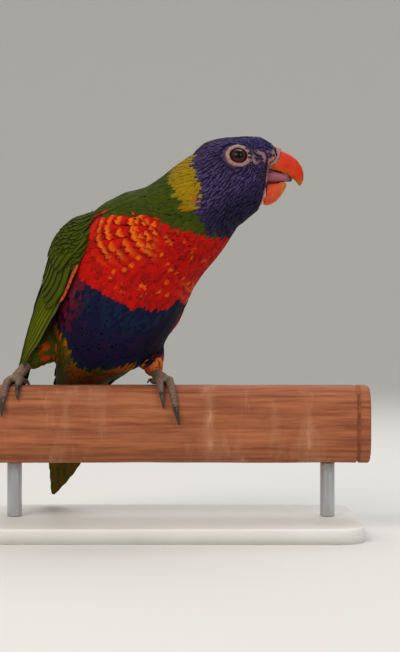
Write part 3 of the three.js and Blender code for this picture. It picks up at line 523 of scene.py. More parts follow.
def markings(along, angle, share, middle, chance):
    """Linear colours for points of the plumage. share runs from root to tip of a feather, middle from
    -1 to 1 across it, and chance is the feather's own draw from 0 to 1."""
    off = np.abs(angle)
    second = np.mod(chance * 17.3, 1)  # a draw of its own for a second trait of the same feather
    wander = 2.6 * (chance - 0.5)
    cut = along + wander
    edge = ease(0.4, 1, np.abs(middle))
    # The darker green goes by each feather's own draw, and towards the vane's sides as painted shade between
    # feathers
    colour = blend(PIGMENT["mantle"], PIGMENT["mantle_dark"], np.clip(0.35 * edge + 0.6 * second, 0, 1))
    # The breast: red, with orange bars that have dark edges, and a ragged lower border
    border = [50, 92, 106, 112, 119, 127, 131, 137, 145, 152]
    red_from = np.interp(along, border, [58, 76, 91, 101, 104, 129, 141, 156, 172, 190])
    low_right = np.interp(-angle, [0, 110, 123, 143, 180], [84, 84, 81, 81, 79])
    low_left = np.interp(angle, [0, 110, 135, 150, 180], [92, 92, 89, 82, 79])
    low_edge = np.where(angle < 0, low_right, low_left)
    stray = (second > 0.9) * 9 * (along > 82) * (along < 118)  # a few red feathers stand above the border
    front = 1.0 * (off + wander + stray > red_from)
    # Painted shade: the red deepens towards each vane's sides, where the feathers overlap; the rest of the
    # deep red is each feather's own draw
    deep_red_and_shade = np.clip(0.7 * ease(0.4, 1, second) + 0.3 * edge, 0, 1)
    red = blend(PIGMENT["red"], PIGMENT["red_deep"], deep_red_and_shade)
    bars_across = along + (off - 92) / 3 - 118.6
    bars_down = (off - 125 - 0.94 * bars_across) / 23
    barred = np.exp(-((bars_across / 14) ** 6) - bars_down**4) * np.where(angle < 0, 1, 0.5)
    spots = 0.6 * (chance > 0.86) * (stray == 0) * ease(80, 90, along) * (1 - ease(122, 132, along))
    band = ease(0.7, 0.75, share) * (1 - ease(0.86, 0.9, share))
    red = blend(red, PIGMENT["bar"], np.clip(barred * (0.7 + 0.6 * second) + spots, 0, 1) * band)
    scalloped = np.clip(barred + 0.55 * ease(112, 130, along) + 0.3 * (second > 0.7), 0, 0.85)
    red = blend(red, PIGMENT["bar_edge"], ease(0.9, 0.94, share) * scalloped)
    colour = blend(colour, red, front)
    # The belly: navy and purple, with teal along the border of the breast, dark red flanks and painted shade
    # on its sides
    belly = blend(PIGMENT["navy"], PIGMENT["purple"], ease(0.3, 0.9, chance))
    belly = blend(belly, PIGMENT["teal"], np.exp(-(((cut - low_edge + 5) / 5) ** 2)) * ease(0.3, 0.7, chance))
    flank_to = np.where(angle < 0, 149, 118)
    flank = (second > 0.4) * (1 - ease(flank_to - 26, flank_to, off))
    # Painted shade: the belly's sides darken towards black, except on the flank feathers
    belly = blend(belly, PIGMENT["black"], 0.7 * (1 - ease(122, 152, off)) * (1 - flank))
    belly = blend(belly, PIGMENT["flank"], flank * (0.5 + 0.5 * edge))
    colour = blend(colour, belly, front * (cut < low_edge))
    # The vent: dark teal, then orange-brown and olive
    tawny = ease(120, 150, off) * ease(0.2, 0.6, chance)
    vent = blend(PIGMENT["vent_olive"], PIGMENT["vent"], tawny)
    vent_angle = [-180, -160, -148, -140, -125, -105, -85, 0, 85, 113, 139, 163, 180]
    vent_from = np.interp(angle, vent_angle, [40, 39, 45, 50, 51, 51, 46, 25, 40, 50, 54, 46, 40])
    colour = blend(colour, PIGMENT["teal"], front * (1 - ease(2, 9, cut - vent_from)) * 0.7)
    over_thigh = np.exp(-(((off - 125) / 22) ** 4))
    vent = blend(vent, PIGMENT["bar"], 0.6 * over_thigh * ease(-7, -3, cut - vent_from) * (second > 0.3))
    colour = blend(colour, vent, front * (cut < vent_from))
    # The collar: mustard behind the head, greener at its edges and more orange at its lower ends
    collar_from = np.interp(off, [0, 32, 66, 100, 119], [147, 146, 142, 138, 137])
    low_end = ease(90, 112, off) * ease(0.3, 0.8, chance)
    collar = blend(PIGMENT["collar"], PIGMENT["collar_low"], low_end)
    collar = blend(collar, PIGMENT["collar_edge"], 0.5 * edge + 0.4 * (1 - ease(0, 5, cut - collar_from)))
    colour = blend(colour, collar, 1.0 * (cut > collar_from) * (off + 3 * wander < 118))
    # The head: violet-blue with a light streak down each feather, bluer on the brow, dark at the throat
    head_edge = [157, 156, 154, 152, 147, 142, 141, 138, 144]
    head_from = np.interp(off, [0, 32, 48, 81, 110, 121, 128, 151, 172], head_edge)
    head = blend(PIGMENT["crown"], PIGMENT["nape"], (1 - ease(158, 176, along)) * 0.7)
    on_brow = ease(166, 184, along) * (1 - ease(34, 58, off))
    head = blend(head, PIGMENT["brow"], on_brow * (0.6 + 0.4 * second))
    low = ease(112, 150, off) * (1 - ease(172, 188, along))
    head = blend(head, PIGMENT["throat"], low)
    streak = (1 - ease(0.05, 0.45, np.abs(middle))) * ease(0.3, 0.6, share) * (0.3 + 0.7 * second)
    head = blend(head, PIGMENT["crown_streak"], streak * (1 - low) * 0.75)
    head = blend(head, PIGMENT["throat_streak"], streak * low)
    return blend(colour, head, 1.0 * (cut > head_from))


def paint(piece, colours):
    """Stores linear colours on a piece's points, where its material reads them."""
    layer = piece.data.color_attributes.new("pigment", "FLOAT_COLOR", "POINT")
    values = np.ones((len(piece.data.vertices), 4), np.float32)
    values[:, :3] = colours
    layer.data.foreach_set("color", values.ravel())


# Painted shade: the skin seen between the feathers is darkened to this share of their colour
SKIN_PAINTED_SHADE = 0.8  # how light the skin is beside the feathers over it
rng = np.random.default_rng(7)
mottle = np.array([0.5 + 0.5 * noise.noise(Vector(p) * 260) for p in skin_points])
flat = np.full(len(skin_points), 0.5)
mouth_parts = []
for part in ("cere", "bill_upper", "bill_lower", "tongue"):
    part_faces = [tuple(face.vertices) for face in solids[part].data.polygons]
    mouth_parts.append(BVHTree.FromPolygons([vertex.co for vertex in solids[part].data.vertices], part_faces))
bare = np.zeros(len(skin_points))  # the skin round the root of the bill is bare
for i in np.flatnonzero(skin_points[:, 0] > 0.04):
    gap = min(part.find_nearest(Vector(skin_points[i]))[3] for part in mouth_parts)
    bare[i] = 1 - ease(1.5, 2.3, gap / MM)
ground = markings(skin_along, skin_angle, flat, 0 * flat, mottle)
# The skin's colour is darkened here as painted shade
ground = blend(ground, PIGMENT["lore"], lore(skin_along, skin_angle)) * SKIN_PAINTED_SHADE
paint(skin, blend(ground, PIGMENT["gape"], bare))

# Hide with down on it: matt and finely grained, and darkened as painted shade between the feathers
hide, tree, shader = material("feathered_hide", {"Roughness": 0.7, "Specular IOR Level": 0.25})
pigment = add(tree, "VertexColor", {"layer_name": "pigment"}).outputs["Color"]
tree.links.new(pigment, shader.inputs["Base Color"])
place = add(tree, "TexCoord").outputs["Object"]
PORES = 0.7 * MM
pore = add(tree, "TexNoise", {"Scale": 1 / PORES, "Detail": 3.0}, {"Vector": place})
bump = add(tree, "Bump", {"Strength": 0.5, "Distance": 0.0003}, {"Height": pore.outputs["Fac"]})
tree.links.new(bump.outputs["Normal"], shader.inputs["Normal"])
dress(skin, hide, "plumage_breast", "torso", "neck", "head", "thigh_right", "thigh_left")

# Contour feathers: small overlapping vanes, rooted in the skin in staggered rows round the body, with
# tips towards the tail. Each is a thin closed blade of keratin barbs on a shaft, slightly cupped.
BLADE = 0.16 * MM  # thickness at the middle of a vane
BAKE_PATCH = 0.003
ROOT_SINK = 0.35 * MM
RING_RAYS = 96


def vane_grid(rows, columns):
    """The corners of a blade's two faces, which share their rim. Returns the shares along, the
    places across, the index of each lower point's place in the grid, and the faces."""
    share = np.repeat(np.linspace(0, 1, rows) ** 0.9, columns)
    across = np.tile(np.linspace(-1, 1, columns), rows)
    upper = np.arange(rows * columns).reshape(rows, columns)
    inner = upper[1:-1, 1:-1]
    lower = upper.copy()
    lower[1:-1, 1:-1] = rows * columns + np.arange(inner.size).reshape(inner.shape)
    faces = []
    for i in range(rows - 1):
        for j in range(columns - 1):
            faces.append([upper[i, j], upper[i, j + 1], upper[i + 1, j + 1], upper[i + 1, j]])
            faces.append([lower[i, j], lower[i + 1, j], lower[i + 1, j + 1], lower[i, j + 1]])
    return share, across, inner.ravel(), np.array(faces)


OUTLINE_AT = [0, 0.15, 0.45, 0.72, 0.88, 1]


def vane_outline(share, blunt):
    """A vane's width at a share of its length: narrow at the root, widest past the middle, and at the
    tip as wide as blunt says."""
    return np.interp(share, OUTLINE_AT, [0.25, 0.5, 0.9, 1.0, 0.5 + 0.45 * blunt, blunt])


def nearest(points, site=skin_site):
    """The nearest point of a piece of skin and its way out, for each of the points."""
    spots, ways = np.empty_like(points), np.empty_like(points)
    for i, p in enumerate(points):
        spot, way, _, _ = site["tree"].find_nearest(Vector(p))
        spots[i], ways[i] = spot, way
    return spots, ways


def bake_place(roots, site=skin_site):
    """Where the roots are on the skin's own unwrap."""
    return np.array([site["places"][site["tree"].find_nearest(Vector(p))[2]] for p in roots])


def blade_object(name, points, inner, faces, share, across, patches):
    """Joins the blades of one tract in a mesh, with a map across each vane and the map for baking."""
    count, per_blade = points.shape[:2]
    corners = points[0][faces]  # the first blade tells whether the faces look outwards
    volume = (corners[:, 0] * np.cross(corners[:, 1], corners[:, 2])).sum()
    volume += (corners[:, 0] * np.cross(corners[:, 2], corners[:, 3])).sum()
    faces = faces if volume > 0 else faces[:, ::-1]
    all_faces = (faces[None] + (np.arange(count) * per_blade)[:, None, None]).reshape(-1, 4)
    made = mesh_object(name, points.reshape(-1, 3), all_faces)
    full_share = np.concatenate([share, share[inner]])
    full_across = np.concatenate([across, across[inner]])
    vane = np.tile(np.stack([full_across * 0.5 + 0.5, full_share], 1), (count, 1))
    patch = np.repeat(patches, per_blade, axis=0) + (vane - 0.5) * BAKE_PATCH
    for layer, values in (("OFBake", patch), ("vane", vane)):
        uv = made.data.uv_layers.new(name=layer)
        uv.data.foreach_set("uv", values[all_faces.ravel()].astype(np.float32).ravel())
    return made, full_share, full_across


def soften(made, ways_out, count, inner, soft):
    """Turns the shading of a tract's outer faces towards the skin's, as loose barbs look softer than a
    hard-edged blade does. ways_out holds the skin's way out at each point of the outer faces."""
    found = normals_of(made).reshape(count, -1, 3)
    grid = ways_out.shape[1]
    rim = np.ones(grid, bool)
    rim[inner] = False
    weight = np.where(rim, 1.0, soft)[None, :, None]
    found[:, :grid] = unit(found[:, :grid] * (1 - weight) + ways_out * weight)
    made.data.normals_split_custom_set_from_vertices(found.reshape(-1, 3).tolist())


SEEN = 0.87  # the share of a feather's length at the middle of the part that shows
VANE_COLUMNS = 5
CUP, SHINGLE = 0.1, 0.05  # how far a vane's edges turn down, and how far it tilts over its neighbour
LIE_SPREAD = 0.045  # how much a feather's lie strays from its row's, in radians


def tract(name, roots, ways, sizes, colours, rows=7, blunt=0.3, loose=0.0, fringe=0.07, soft=0.7, axis=spine,
          seen=SEEN):
    """Grows one tract of contour feathers. ways are the lies of the feathers along the skin, and sizes
    holds each one's length, width and how high its tip stands off the skin, in metres. fringe is how
    unevenly the barbs end at the tip. Colours go by the place on the body that lies under the seen
    share of the vane."""
    count = len(roots)
    share, across, inner, faces = vane_grid(rows, VANE_COLUMNS)
    chance = rng.random(count)
    length, width, height = (sizes[:, i] for i in range(3))
    _, out = nearest(roots)
    lie = unit(ways - (ways * out).sum(1)[:, None] * out)
    side = np.cross(out, lie)
    turn = rng.normal(0, LIE_SPREAD, count)[:, None]
    lie, side = unit(lie + side * turn), unit(side - lie * turn)
    ends = fringe * rng.standard_normal((count, VANE_COLUMNS)).clip(-2, 2)
    reach = share * (1 + (np.tile(ends, (1, rows)) - 0.12 * across**2) * ease(0.5, 1, share))
    fray = 1 + 0.07 * rng.standard_normal((count, len(share))) * (np.abs(across) > 0.9)
    half = width[:, None] / 2 * vane_outline(share, blunt)[None] * fray
    flat_points = roots[:, None] + lie[:, None] * (length[:, None] * reach)[:, :, None]
    flat_points += side[:, None] * (half * across)[:, :, None]
    spots, normals = nearest(flat_points.reshape(-1, 3))
    rise = 1 - (1 - share) ** 2.4  # tips lie flat on the feathers under them
    stand = height[:, None] * rise - ROOT_SINK * (1 - ease(0, 0.3, share))
    stand = stand - CUP * half * across**2 + SHINGLE * half * across
    stand = stand + loose * MM * rng.random((count, 1)) * share**2
    upper = (spots + normals * stand.reshape(-1)[:, None]).reshape(count, -1, 3)
    normals = normals.reshape(count, -1, 3)
    thick = BLADE * (1 - 0.6 * share[inner]) * (1 - 0.3 * np.abs(across[inner]))
    shaft = 0.06 * MM * (np.abs(across[inner]) < 0.1) * (1 - share[inner])
    lower = upper[:, inner] - normals[:, inner] * thick[:, None] * 0.5
    upper[:, inner] += normals[:, inner] * (thick * 0.5 + shaft)[:, None]
    points = np.concatenate([upper, lower], 1)
    made, full_share, full_across = blade_object(name, points, inner, faces, share, across, bake_place(roots))
    soften(made, normals, count, inner, soft)
    shown = np.argmin(np.abs(share - seen) + np.abs(across))
    seen_along, seen_angle = body_place(spots.reshape(count, -1, 3)[:, shown], axis)
    per = points.shape[1]
    along, angle, draws = (np.repeat(values, per) for values in (seen_along, seen_angle, chance))
    paint(made, colours(along, angle, np.tile(full_share, count), np.tile(full_across, count), draws))
    return made


def ring_points(axis, along, shift, reach):
    """Where a ring round an axis meets the skin, with the ring's place moved by shift(angle)."""
    angles = np.linspace(-180, 180, RING_RAYS, endpoint=False)
    places = np.clip(along + shift(angles), 0, axis["length"][-1])
    k = np.searchsorted(axis["length"], places).clip(0, len(axis["length"]) - 1)
    turn = np.radians(angles)[:, None]
    rays = np.cos(turn) * axis["back"][k] + np.sin(turn) * axis["side"][k]
    starts = axis["line"][k]
    hits = np.full((RING_RAYS, 3), np.nan)
    for i in range(RING_RAYS):
        hit = skin_site["tree"].ray_cast(Vector(starts[i]), Vector(rays[i]), reach)[0]
        if hit is not None:
            hits[i] = hit
    return hits, axis["ahead"][k]


def at(size, *place):
    """A size that is a number, or else a function of the place."""
    return size(*place) if callable(size) else size


def graded(places, sizes):
    """A size that changes along the body."""
    return lambda along, off=0: np.interp(along, places, sizes)


SPACING_JITTER = 0.15  # how unevenly feathers stand in a row, as a share of their spacing


def rows_of(axis, first, last, pitch, gap, shift=lambda along, angles: 0 * angles, keep=None, reach=0.06,
            jitter=0.15):
    """Roots and lies of feathers in staggered rows from first to last, in millimetres along the axis.
    pitch and gap are the space between rows and between neighbours. reach is how far from the axis
    the skin may be, in metres, and jitter how far a root may leave its row, as a share of the pitch."""
    roots, ways = [], []
    along, row = first, 0
    while along <= last:
        hits, ahead = ring_points(axis, along, lambda a: shift(along, a), at(reach, along))
        good = ~np.isnan(hits[:, 0])
        if good.sum() > 8:
            ring, toward = hits[good], ahead[good]
            loop = np.vstack([ring, ring[:1]])
            total = np.concatenate([[0], np.cumsum(np.linalg.norm(np.diff(loop, axis=0), axis=1))])
            number = max(4, int(round(total[-1] / (at(gap, along) * MM))))
            strays = rng.uniform(-SPACING_JITTER, SPACING_JITTER, number)
            marks = np.mod((np.arange(number) + 0.5 * (row % 2) + strays) / number, 1) * total[-1]
            spots = np.stack([np.interp(marks, total, loop[:, i]) for i in range(3)], 1)
            tangents = unit(np.roll(ring, -1, 0) - np.roll(ring, 1, 0))
            knot = np.searchsorted(total, marks) % len(ring)
            tangent, down = tangents[knot], -toward[knot]
            lie = unit(down - (down * tangent).sum(1)[:, None] * tangent)
            spots = spots + lie * rng.uniform(-jitter, jitter, (number, 1)) * at(pitch, along) * MM
            roots.append(spots)
            ways.append(lie)
        along += at(pitch, along)
        row += 1
    roots, ways = np.vstack(roots), np.vstack(ways)
    kept = np.linalg.norm(nearest(roots)[0] - roots, axis=1) < 1.2 * MM
    if keep is not None:
        kept &= keep(roots)
    return roots[kept], ways[kept]


def breast_shift(along, angles):
    """Rows on the sides of the breast swing forward at the back, so that feathers there point aside."""
    swing = 9 * math.exp(-(((along - 116) / 22) ** 2))
    return swing * (1 - 2 * ease(80, 130, np.abs(angles)))


def head_shift(along, angles):
    """Rows on the cheek reach further forward below, so that feathers there point down and back."""
    swing = 9 * float(ease(148, 168, along))
    return swing * (ease(40, 150, np.abs(angles)) - 0.3)


# Feather keratin: matt and finely lined along its barbs, which lie in small lighter and darker clumps
plume, tree, shader = material("feather_keratin", {"Roughness": 0.72, "Specular IOR Level": 0.1})
BARB = 0.5 * MM  # space between barbs, drawn coarser than the real 0.3 mm so that it shows
pigment = add(tree, "VertexColor", {"layer_name": "pigment"}).outputs["Color"]
vane_map = add(tree, "UVMap", {"uv_map": "vane"}).outputs["UV"]
parts = add(tree, "SeparateXYZ", {}, {"Vector": vane_map})
from_shaft = add(tree, "Math", {"operation": "SUBTRACT", 1: 0.5}, {0: parts.outputs["X"]})
off_shaft = add(tree, "Math", {"operation": "ABSOLUTE"}, {0: from_shaft.outputs[0]})
swept = {"operation": "MULTIPLY_ADD", 1: -0.9}
slant = add(tree, "Math", swept, {0: off_shaft.outputs[0], 2: parts.outputs["Y"]})
VANE_LENGTH = 10 * MM  # a usual body feather
per_barb = {"operation": "MULTIPLY", 1: VANE_LENGTH / BARB * 2 * math.pi}
barbs = add(tree, "Math", per_barb, {0: slant.outputs[0]})
ripple = add(tree, "Math", {"operation": "SINE"}, {0: barbs.outputs[0]})
place = add(tree, "TexCoord").outputs["Object"]
drift = add(tree, "VectorMath", {"operation": "SCALE", "Scale": 150.0}, {0: place})
across_barbs = add(tree, "CombineXYZ", {}, {"X": barbs.outputs[0]})
clump_place = add(tree, "VectorMath", {"operation": "MULTIPLY_ADD", 1: (0.3, 0, 0)},
                  {0: across_barbs.outputs[0], 2: drift.outputs[0]})
clumps = {"Scale": 1.0, "Detail": 3.0, "Roughness": 0.6}
clump = add(tree, "TexNoise", clumps, {"Vector": clump_place.outputs[0]})
uneven = add(tree, "MapRange", {"From Min": 0.3, "From Max": 0.7, "To Min": 0.6, "To Max": 1.35},
             {"Value": clump.outputs["Fac"]})
faintly = {"operation": "MULTIPLY_ADD", 1: 0.06}
lined = add(tree, "Math", faintly, {0: ripple.outputs[0], 2: uneven.outputs[0]})
scaled = add(tree, "VectorMath", {"operation": "SCALE"}, {0: pigment, "Scale": lined.outputs[0]})
tree.links.new(scaled.outputs[0], shader.inputs["Base Color"])
ridged = {"operation": "MULTIPLY_ADD", 1: 0.35}
relief = add(tree, "Math", ridged, {0: ripple.outputs[0], 2: clump.outputs["Fac"]})
bump = add(tree, "Bump", {"Strength": 0.4, "Distance": 0.0002}, {"Height": relief.outputs[0]})
tree.links.new(bump.outputs["Normal"], shader.inputs["Normal"])

EYE_CENTRES = [np.array(sum(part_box("eye_" + side), Vector()) / 2) for side in ("right", "left")]
EYE_CLEAR = 6.9 * MM
BILL_MIDDLE, BILL_TOP_Z = np.array([0.05, -0.0035, 0.197]), 0.204


def off_face(roots):
    """Leaves the eyes, most of the bare lores and the mouth free of feathers."""
    along, angle = body_place(roots)
    clear = lore(along, angle) < 0.3 + 0.75 * (rng.random(len(roots)) < 0.55)
    for centre in EYE_CENTRES:
        clear &= np.linalg.norm(roots - centre, axis=1) > EYE_CLEAR
    room = np.where(roots[:, 2] > BILL_TOP_Z, 0.6, 1.3) * MM  # feathers come closer to the bill above it
    for tree in mouth_parts:
        for i in np.flatnonzero(clear & (roots[:, 0] > 0.04)):
            spot, way, _, gap = tree.find_nearest(Vector(roots[i]))
            clear[i] = gap > room[i] and (Vector(roots[i]) - spot).dot(way) > 0
    return clear


def round_eyes(roots, ways):
    """Turns the feathers in front of an eye aside, so that they part and flow round its ring."""
    ways = ways.copy()
    for centre in EYE_CENTRES:
        out = roots - centre
        distance = np.linalg.norm(out, axis=1)
        out = out / distance[:, None]
        inward = np.minimum((ways * out).sum(1), 0) * (1 - ease(9.5 * MM, 15 * MM, distance))
        ways = unit(ways - out * (1.15 * inward)[:, None])
    return ways


def sized(roots, length, width, height, vary=0.1):
    """Sizes for feathers at the roots, in metres, from millimetres by place along the body."""
    along, angle = body_place(roots)
    change = 1 + vary * rng.standard_normal((len(roots), 1)).clip(-2, 2)
    rows = [np.broadcast_to(at(size, along, np.abs(angle)), len(roots)) for size in (length, width, height)]
    sizes = np.stack(rows, 1)
    sizes[:, :2] *= change
    return sizes * MM


def tip_height(along, off):
    """Tips reach the outline of the solids, which is that of the plumage."""
    return coat_depth(along) / MM * 0.95


def scattered(inside, spacing):
    """Points about evenly spread over the skin where inside(points) holds, in metres apart."""
    skin.data.calc_loop_triangles()
    corners = np.zeros(len(skin.data.loop_triangles) * 3, np.int32)
    skin.data.loop_triangles.foreach_get("vertices", corners)
    triangles = skin_points[corners.reshape(-1, 3)]
    triangles = triangles[inside(triangles.mean(1))]
    first, second = (triangles[:, i] - triangles[:, 0] for i in (1, 2))
    area = np.linalg.norm(np.cross(first, second), axis=1)
    tries = int(area.sum() / 2 / spacing**2 * 7)  # enough to fill nearly every gap
    picked = rng.choice(len(triangles), tries, p=area / area.sum())
    u, v = rng.random((2, tries, 1))
    u, v = np.where(u + v > 1, 1 - u, u), np.where(u + v > 1, 1 - v, v)
    spots = triangles[picked, 0] + u * first[picked] + v * second[picked]
    kept = np.zeros((0, 3))
    for spot in spots:
        if len(kept) == 0 or ((kept - spot) ** 2).sum(1).min() > spacing**2:
            kept = np.vstack([kept, spot])
    return kept


# The head's feathers are the smallest, and smaller still on the face, where they flow away from the bill
FACE_FROM = 181.5
pitch, gap = graded([142, 165, 182], [1.9, 1.7, 1.3]), graded([142, 165, 182], [2.0, 1.7, 1.45])
roots, ways = rows_of(spine, 149, FACE_FROM, pitch, gap, head_shift, off_face)
length, width = graded([143, 160, 182], [9.0, 7.6, 4.6]), graded([143, 160, 182], [3.1, 2.6, 1.9])
sizes = sized(roots, length, width, tip_height, 0.12)
ways = round_eyes(roots, ways)
piece = tract("plumage_head", roots, ways, sizes, markings, rows=6, blunt=0.12, soft=0.55)
dress(piece, plume, "plumage_head")

roots = scattered(lambda p: (p[:, 0] > 0.02) & (body_place(p)[0] > FACE_FROM - 1), 1.25 * MM)
roots = roots[off_face(roots)]
ways = unit(roots - BILL_MIDDLE)
reach_back = ease(6 * MM, 15 * MM, np.linalg.norm(roots - BILL_MIDDLE, axis=1))[:, None]
ways = round_eyes(roots, unit(ways - 1.2 * reach_back * spine["ahead"][-1]))
sizes = sized(roots, lambda along, off: np.interp(off, [0, 60, 180], [4.2, 3.0, 3.6]), 1.6, 0.7, 0.15)
piece = tract("plumage_face", roots, ways, sizes, markings, rows=5, blunt=0.12, soft=0.5)
dress(piece, plume, "plumage_head")

roots, ways = rows_of(spine, 127, 152, 2.0, 1.8, breast_shift)
sizes = sized(roots, 10.0, 4.0, tip_height, 0.1)
piece = tract("plumage_neck", roots, ways, sizes, markings, rows=6, blunt=0.2, soft=0.6)
dress(piece, plume, "plumage_green")

# The breast's are broad and cut off square, so that their bars join across the body
roots, ways = rows_of(spine, 86, 129, 4.6, 1.8, breast_shift, jitter=0.04)
sizes = sized(roots, 14.5, 5.2, tip_height, 0.03)
piece = tract("plumage_breast", roots, ways, sizes, markings, rows=11, blunt=0.75, fringe=0.03, soft=0.6)
dress(piece, plume, "plumage_breast")


def off_thigh(roots):
    """Keeps the body's own feathers off the lower thighs, which have shorter ones."""
    gaps = [np.linalg.norm(roots - np.array(p) * MM, axis=1) for p in LOWER_THIGHS]
    return np.min(gaps, axis=0) > LOWER_THIGH_REACH


LOWER_THIGHS = [(-80, 7, 91), (-76.6, 8.5, 93.8), (-69.5, 11, 99.4), (-9.3, 7, 85), (-10.6, 9, 92.4)]
LOWER_THIGH_REACH = 11 * MM
roots, ways = rows_of(spine, 14, 86, 2.5, 2.0, keep=off_thigh)
length, width = graded([14, 40, 76], [11.0, 12.5, 13.0]), graded([14, 40, 76], [4.0, 4.6, 5.0])
sizes = sized(roots, length, width, tip_height, 0.12)
piece = tract("plumage_belly", roots, ways, sizes, markings, rows=7, blunt=0.2, loose=0.05, soft=0.6)
dress(piece, plume, "plumage_breast")

# Flank plumes are long and loose and fill the hollow between the body and the folded wing
side_on = lambda roots: (np.abs(np.abs(body_place(roots)[1]) - 95) < 13) & off_thigh(roots)
roots, ways = rows_of(spine, 44, 92, 3.0, 2.4, keep=side_on)
sizes = sized(roots, 16.0, 5.4, graded([50, 62, 76, 92], [4.6, 4.4, 3.0, 2.0]), 0.1)
sizes[:, 2] *= np.where(body_place(roots)[1] < 0, 1, 0.55)  # the left hollow is shallower
piece = tract("plumage_flank", roots, ways, sizes, markings, rows=10, blunt=0.3, loose=0.4)
dress(piece, plume, "plumage_breast")


def scapular_height(along, off):
    """Scapulars stand highest at the middle of the shoulder and towards the tail."""
    return 1.7 + SCAPULAR_RISE(along) * np.exp(-(((off - SHOULDER) / 22) ** 4))


# Scapulars are longer than the mantle's feathers and lie over the root of the wing
SHOULDER = 58  # degrees from the back
SCAPULAR_RISE = graded([96, 104, 114, 124], [4.2, 3.2, 1.4, 0.2])
shoulder = lambda roots: np.abs(np.abs(body_place(roots)[1]) - SHOULDER) < 27
roots, ways = rows_of(spine, 96, 124, 2.8, 2.3, breast_shift, shoulder)
sizes = sized(roots, 16.0, 5.6, scapular_height, 0.06)
piece = tract("plumage_scapular", roots, ways, sizes, markings, rows=8, blunt=0.4)
dress(piece, plume, "plumage_green")

# Thigh feathers: short soft plumes down to the ankle, olive and orange on the right leg as it shows,
# maroon where they meet the bare foot. They hang loosely, so their tips stand off a little.
THIGH_AXES = {
    "right": [
        ((-80, 7, 91), (0, 1, 0.3)),
        ((-76.6, 8.5, 93.8), (0, 1, 0.3)),
        ((-69.5, 11, 99.4), (0, 1, 0.3)),
        ((-59, 13, 106.5), (0, 1, 0.3)),
        ((-47, 14, 113), (0, 1, 0.3)),
    ],
    "left": [
        ((-9.3, 7, 85), (0, 1, 0.1)),
        ((-9.7, 8, 87.4), (0, 1, 0.1)),
        ((-10.6, 9, 92.4), (0, 1, 0.1)),
        ((-12.8, 10, 99.5), (0, 1, 0.1)),
        ((-18, 10, 110), (0, 1, 0.1)),
    ],
}
THIGH_PIGMENT = tones(olive="#46560e", streak="#c25c18", glow="#d6743a", ember="#b23c10", maroon="#661020",
                      dusk="#1c2038")


def thigh_markings(side):
    """The colours of one thigh, by place from the ankle up and round the leg."""

    def colours(along, angle, share, middle, chance):
        if side == "right":
            colour = blend(THIGH_PIGMENT["olive"], THIGH_PIGMENT["ember"], ease(0.62, 0.85, chance))
            streaked = ease(17, 20, along) * (1 - ease(24, 27, along)) * ease(0.3, 0.6, chance)
            colour = blend(colour, THIGH_PIGMENT["streak"], streaked)
            low, painted_edge_shade = 4.5, 0.5
        else:
            colour = blend(THIGH_PIGMENT["glow"], THIGH_PIGMENT["ember"], ease(0.4, 0.9, chance))
            colour = blend(colour, THIGH_PIGMENT["dusk"], ease(13, 17, along))
            low, painted_edge_shade = -1, 0.3
        at_foot = 1 - ease(low - 1.5, low + 1.5, along + 2 * (chance - 0.5))
        colour = blend(colour, THIGH_PIGMENT["maroon"], at_foot)
        # Painted shade: each plume darkens towards its sides, where the plumes overlap
        return blend(colour, 0.35 * colour, painted_edge_shade * ease(0.5, 1, np.abs(middle)))

    return colours


thigh_reach = lambda along: MM * np.interp(along, [0, 12, 30, 42], [6, 9.5, 14.5, 17])
THIGH_FEATHER = 8.5 * MM
for side, knots in THIGH_AXES.items():
    thigh_axis = axis_of(knots, 400)
    top = thigh_axis["length"][-1] * 0.86
    roots, ways = rows_of(thigh_axis, 0.4, top, 2.1, 2.3, reach=thigh_reach)
    length = np.full(len(roots), THIGH_FEATHER)
    sizes = np.stack([length, length * 0.42, length * 0.2], 1)
    sizes *= 1 + 0.12 * rng.standard_normal((len(roots), 1))
    colours = thigh_markings(side)
    piece = tract("plumage_thigh_" + side, roots, ways, sizes, colours, loose=0.35, axis=thigh_axis, seen=0)
    dress(piece, plume, "plumage_green")

# Feet: two toes in front and two behind, gripping the rail. The skin is horny and grey-brown, with
# broad scutes across the top of each toe and fine grains on the shanks and the ball of the foot.
TOE_NAMES = ("1_rear_inner", "2_front_inner", "3_front_outer", "4_rear_outer")
SCUTE = 1.35 * MM  # length of one scute along a toe
rail_top = perch_high.z


def round_the_rail(points):
    """How far points are round the rail from the middle of its top, in metres."""
    y, z = points[:, 1], points[:, 2] - (rail_top - PERCH_CORNER)
    flat = PERCH_SIDE / 2 - PERCH_CORNER
    beyond = np.maximum(np.abs(y) - flat, 0)
    turn = np.arctan2(beyond, np.maximum(z, 1e-6))
    down = np.where(z < 0, -z, 0)
    corner = np.where(np.abs(y) > flat, PERCH_CORNER * np.minimum(turn, math.pi / 2), 0)
    return np.where(z < 0, flat + PERCH_CORNER * math.pi / 2 + down, np.minimum(np.abs(y), flat) + corner)


# Foot skin: dull and dry, with fine raised grains
horn, tree, shader = material("scaly_foot_skin", {"Roughness": 0.6, "Specular IOR Level": 0.35})
pigment = add(tree, "VertexColor", {"layer_name": "pigment"}).outputs["Color"]
place = add(tree, "TexCoord").outputs["Object"]
GRAIN_OF_SKIN = 0.55 * MM
cells = add(tree, "TexVoronoi", {"Scale": 1 / GRAIN_OF_SKIN, "Randomness": 0.8}, {"Vector": place})
dust = add(tree, "TexNoise", {"Scale": 700.0, "Detail": 3.0}, {"Vector": place})
uneven = add(tree, "MapRange", {"From Min": 0.3, "From Max": 0.7, "To Min": 0.75, "To Max": 1.25},
             {"Value": dust.outputs["Fac"]})
scaled = add(tree, "VectorMath", {"operation": "SCALE"}, {0: pigment, "Scale": uneven.outputs[0]})
tree.links.new(scaled.outputs[0], shader.inputs["Base Color"])
bump = add(tree, "Bump", {"Strength": 0.4, "Distance": 0.00015}, {"Height": cells.outputs["Distance"]})
tree.links.new(bump.outputs["Normal"], shader.inputs["Normal"])

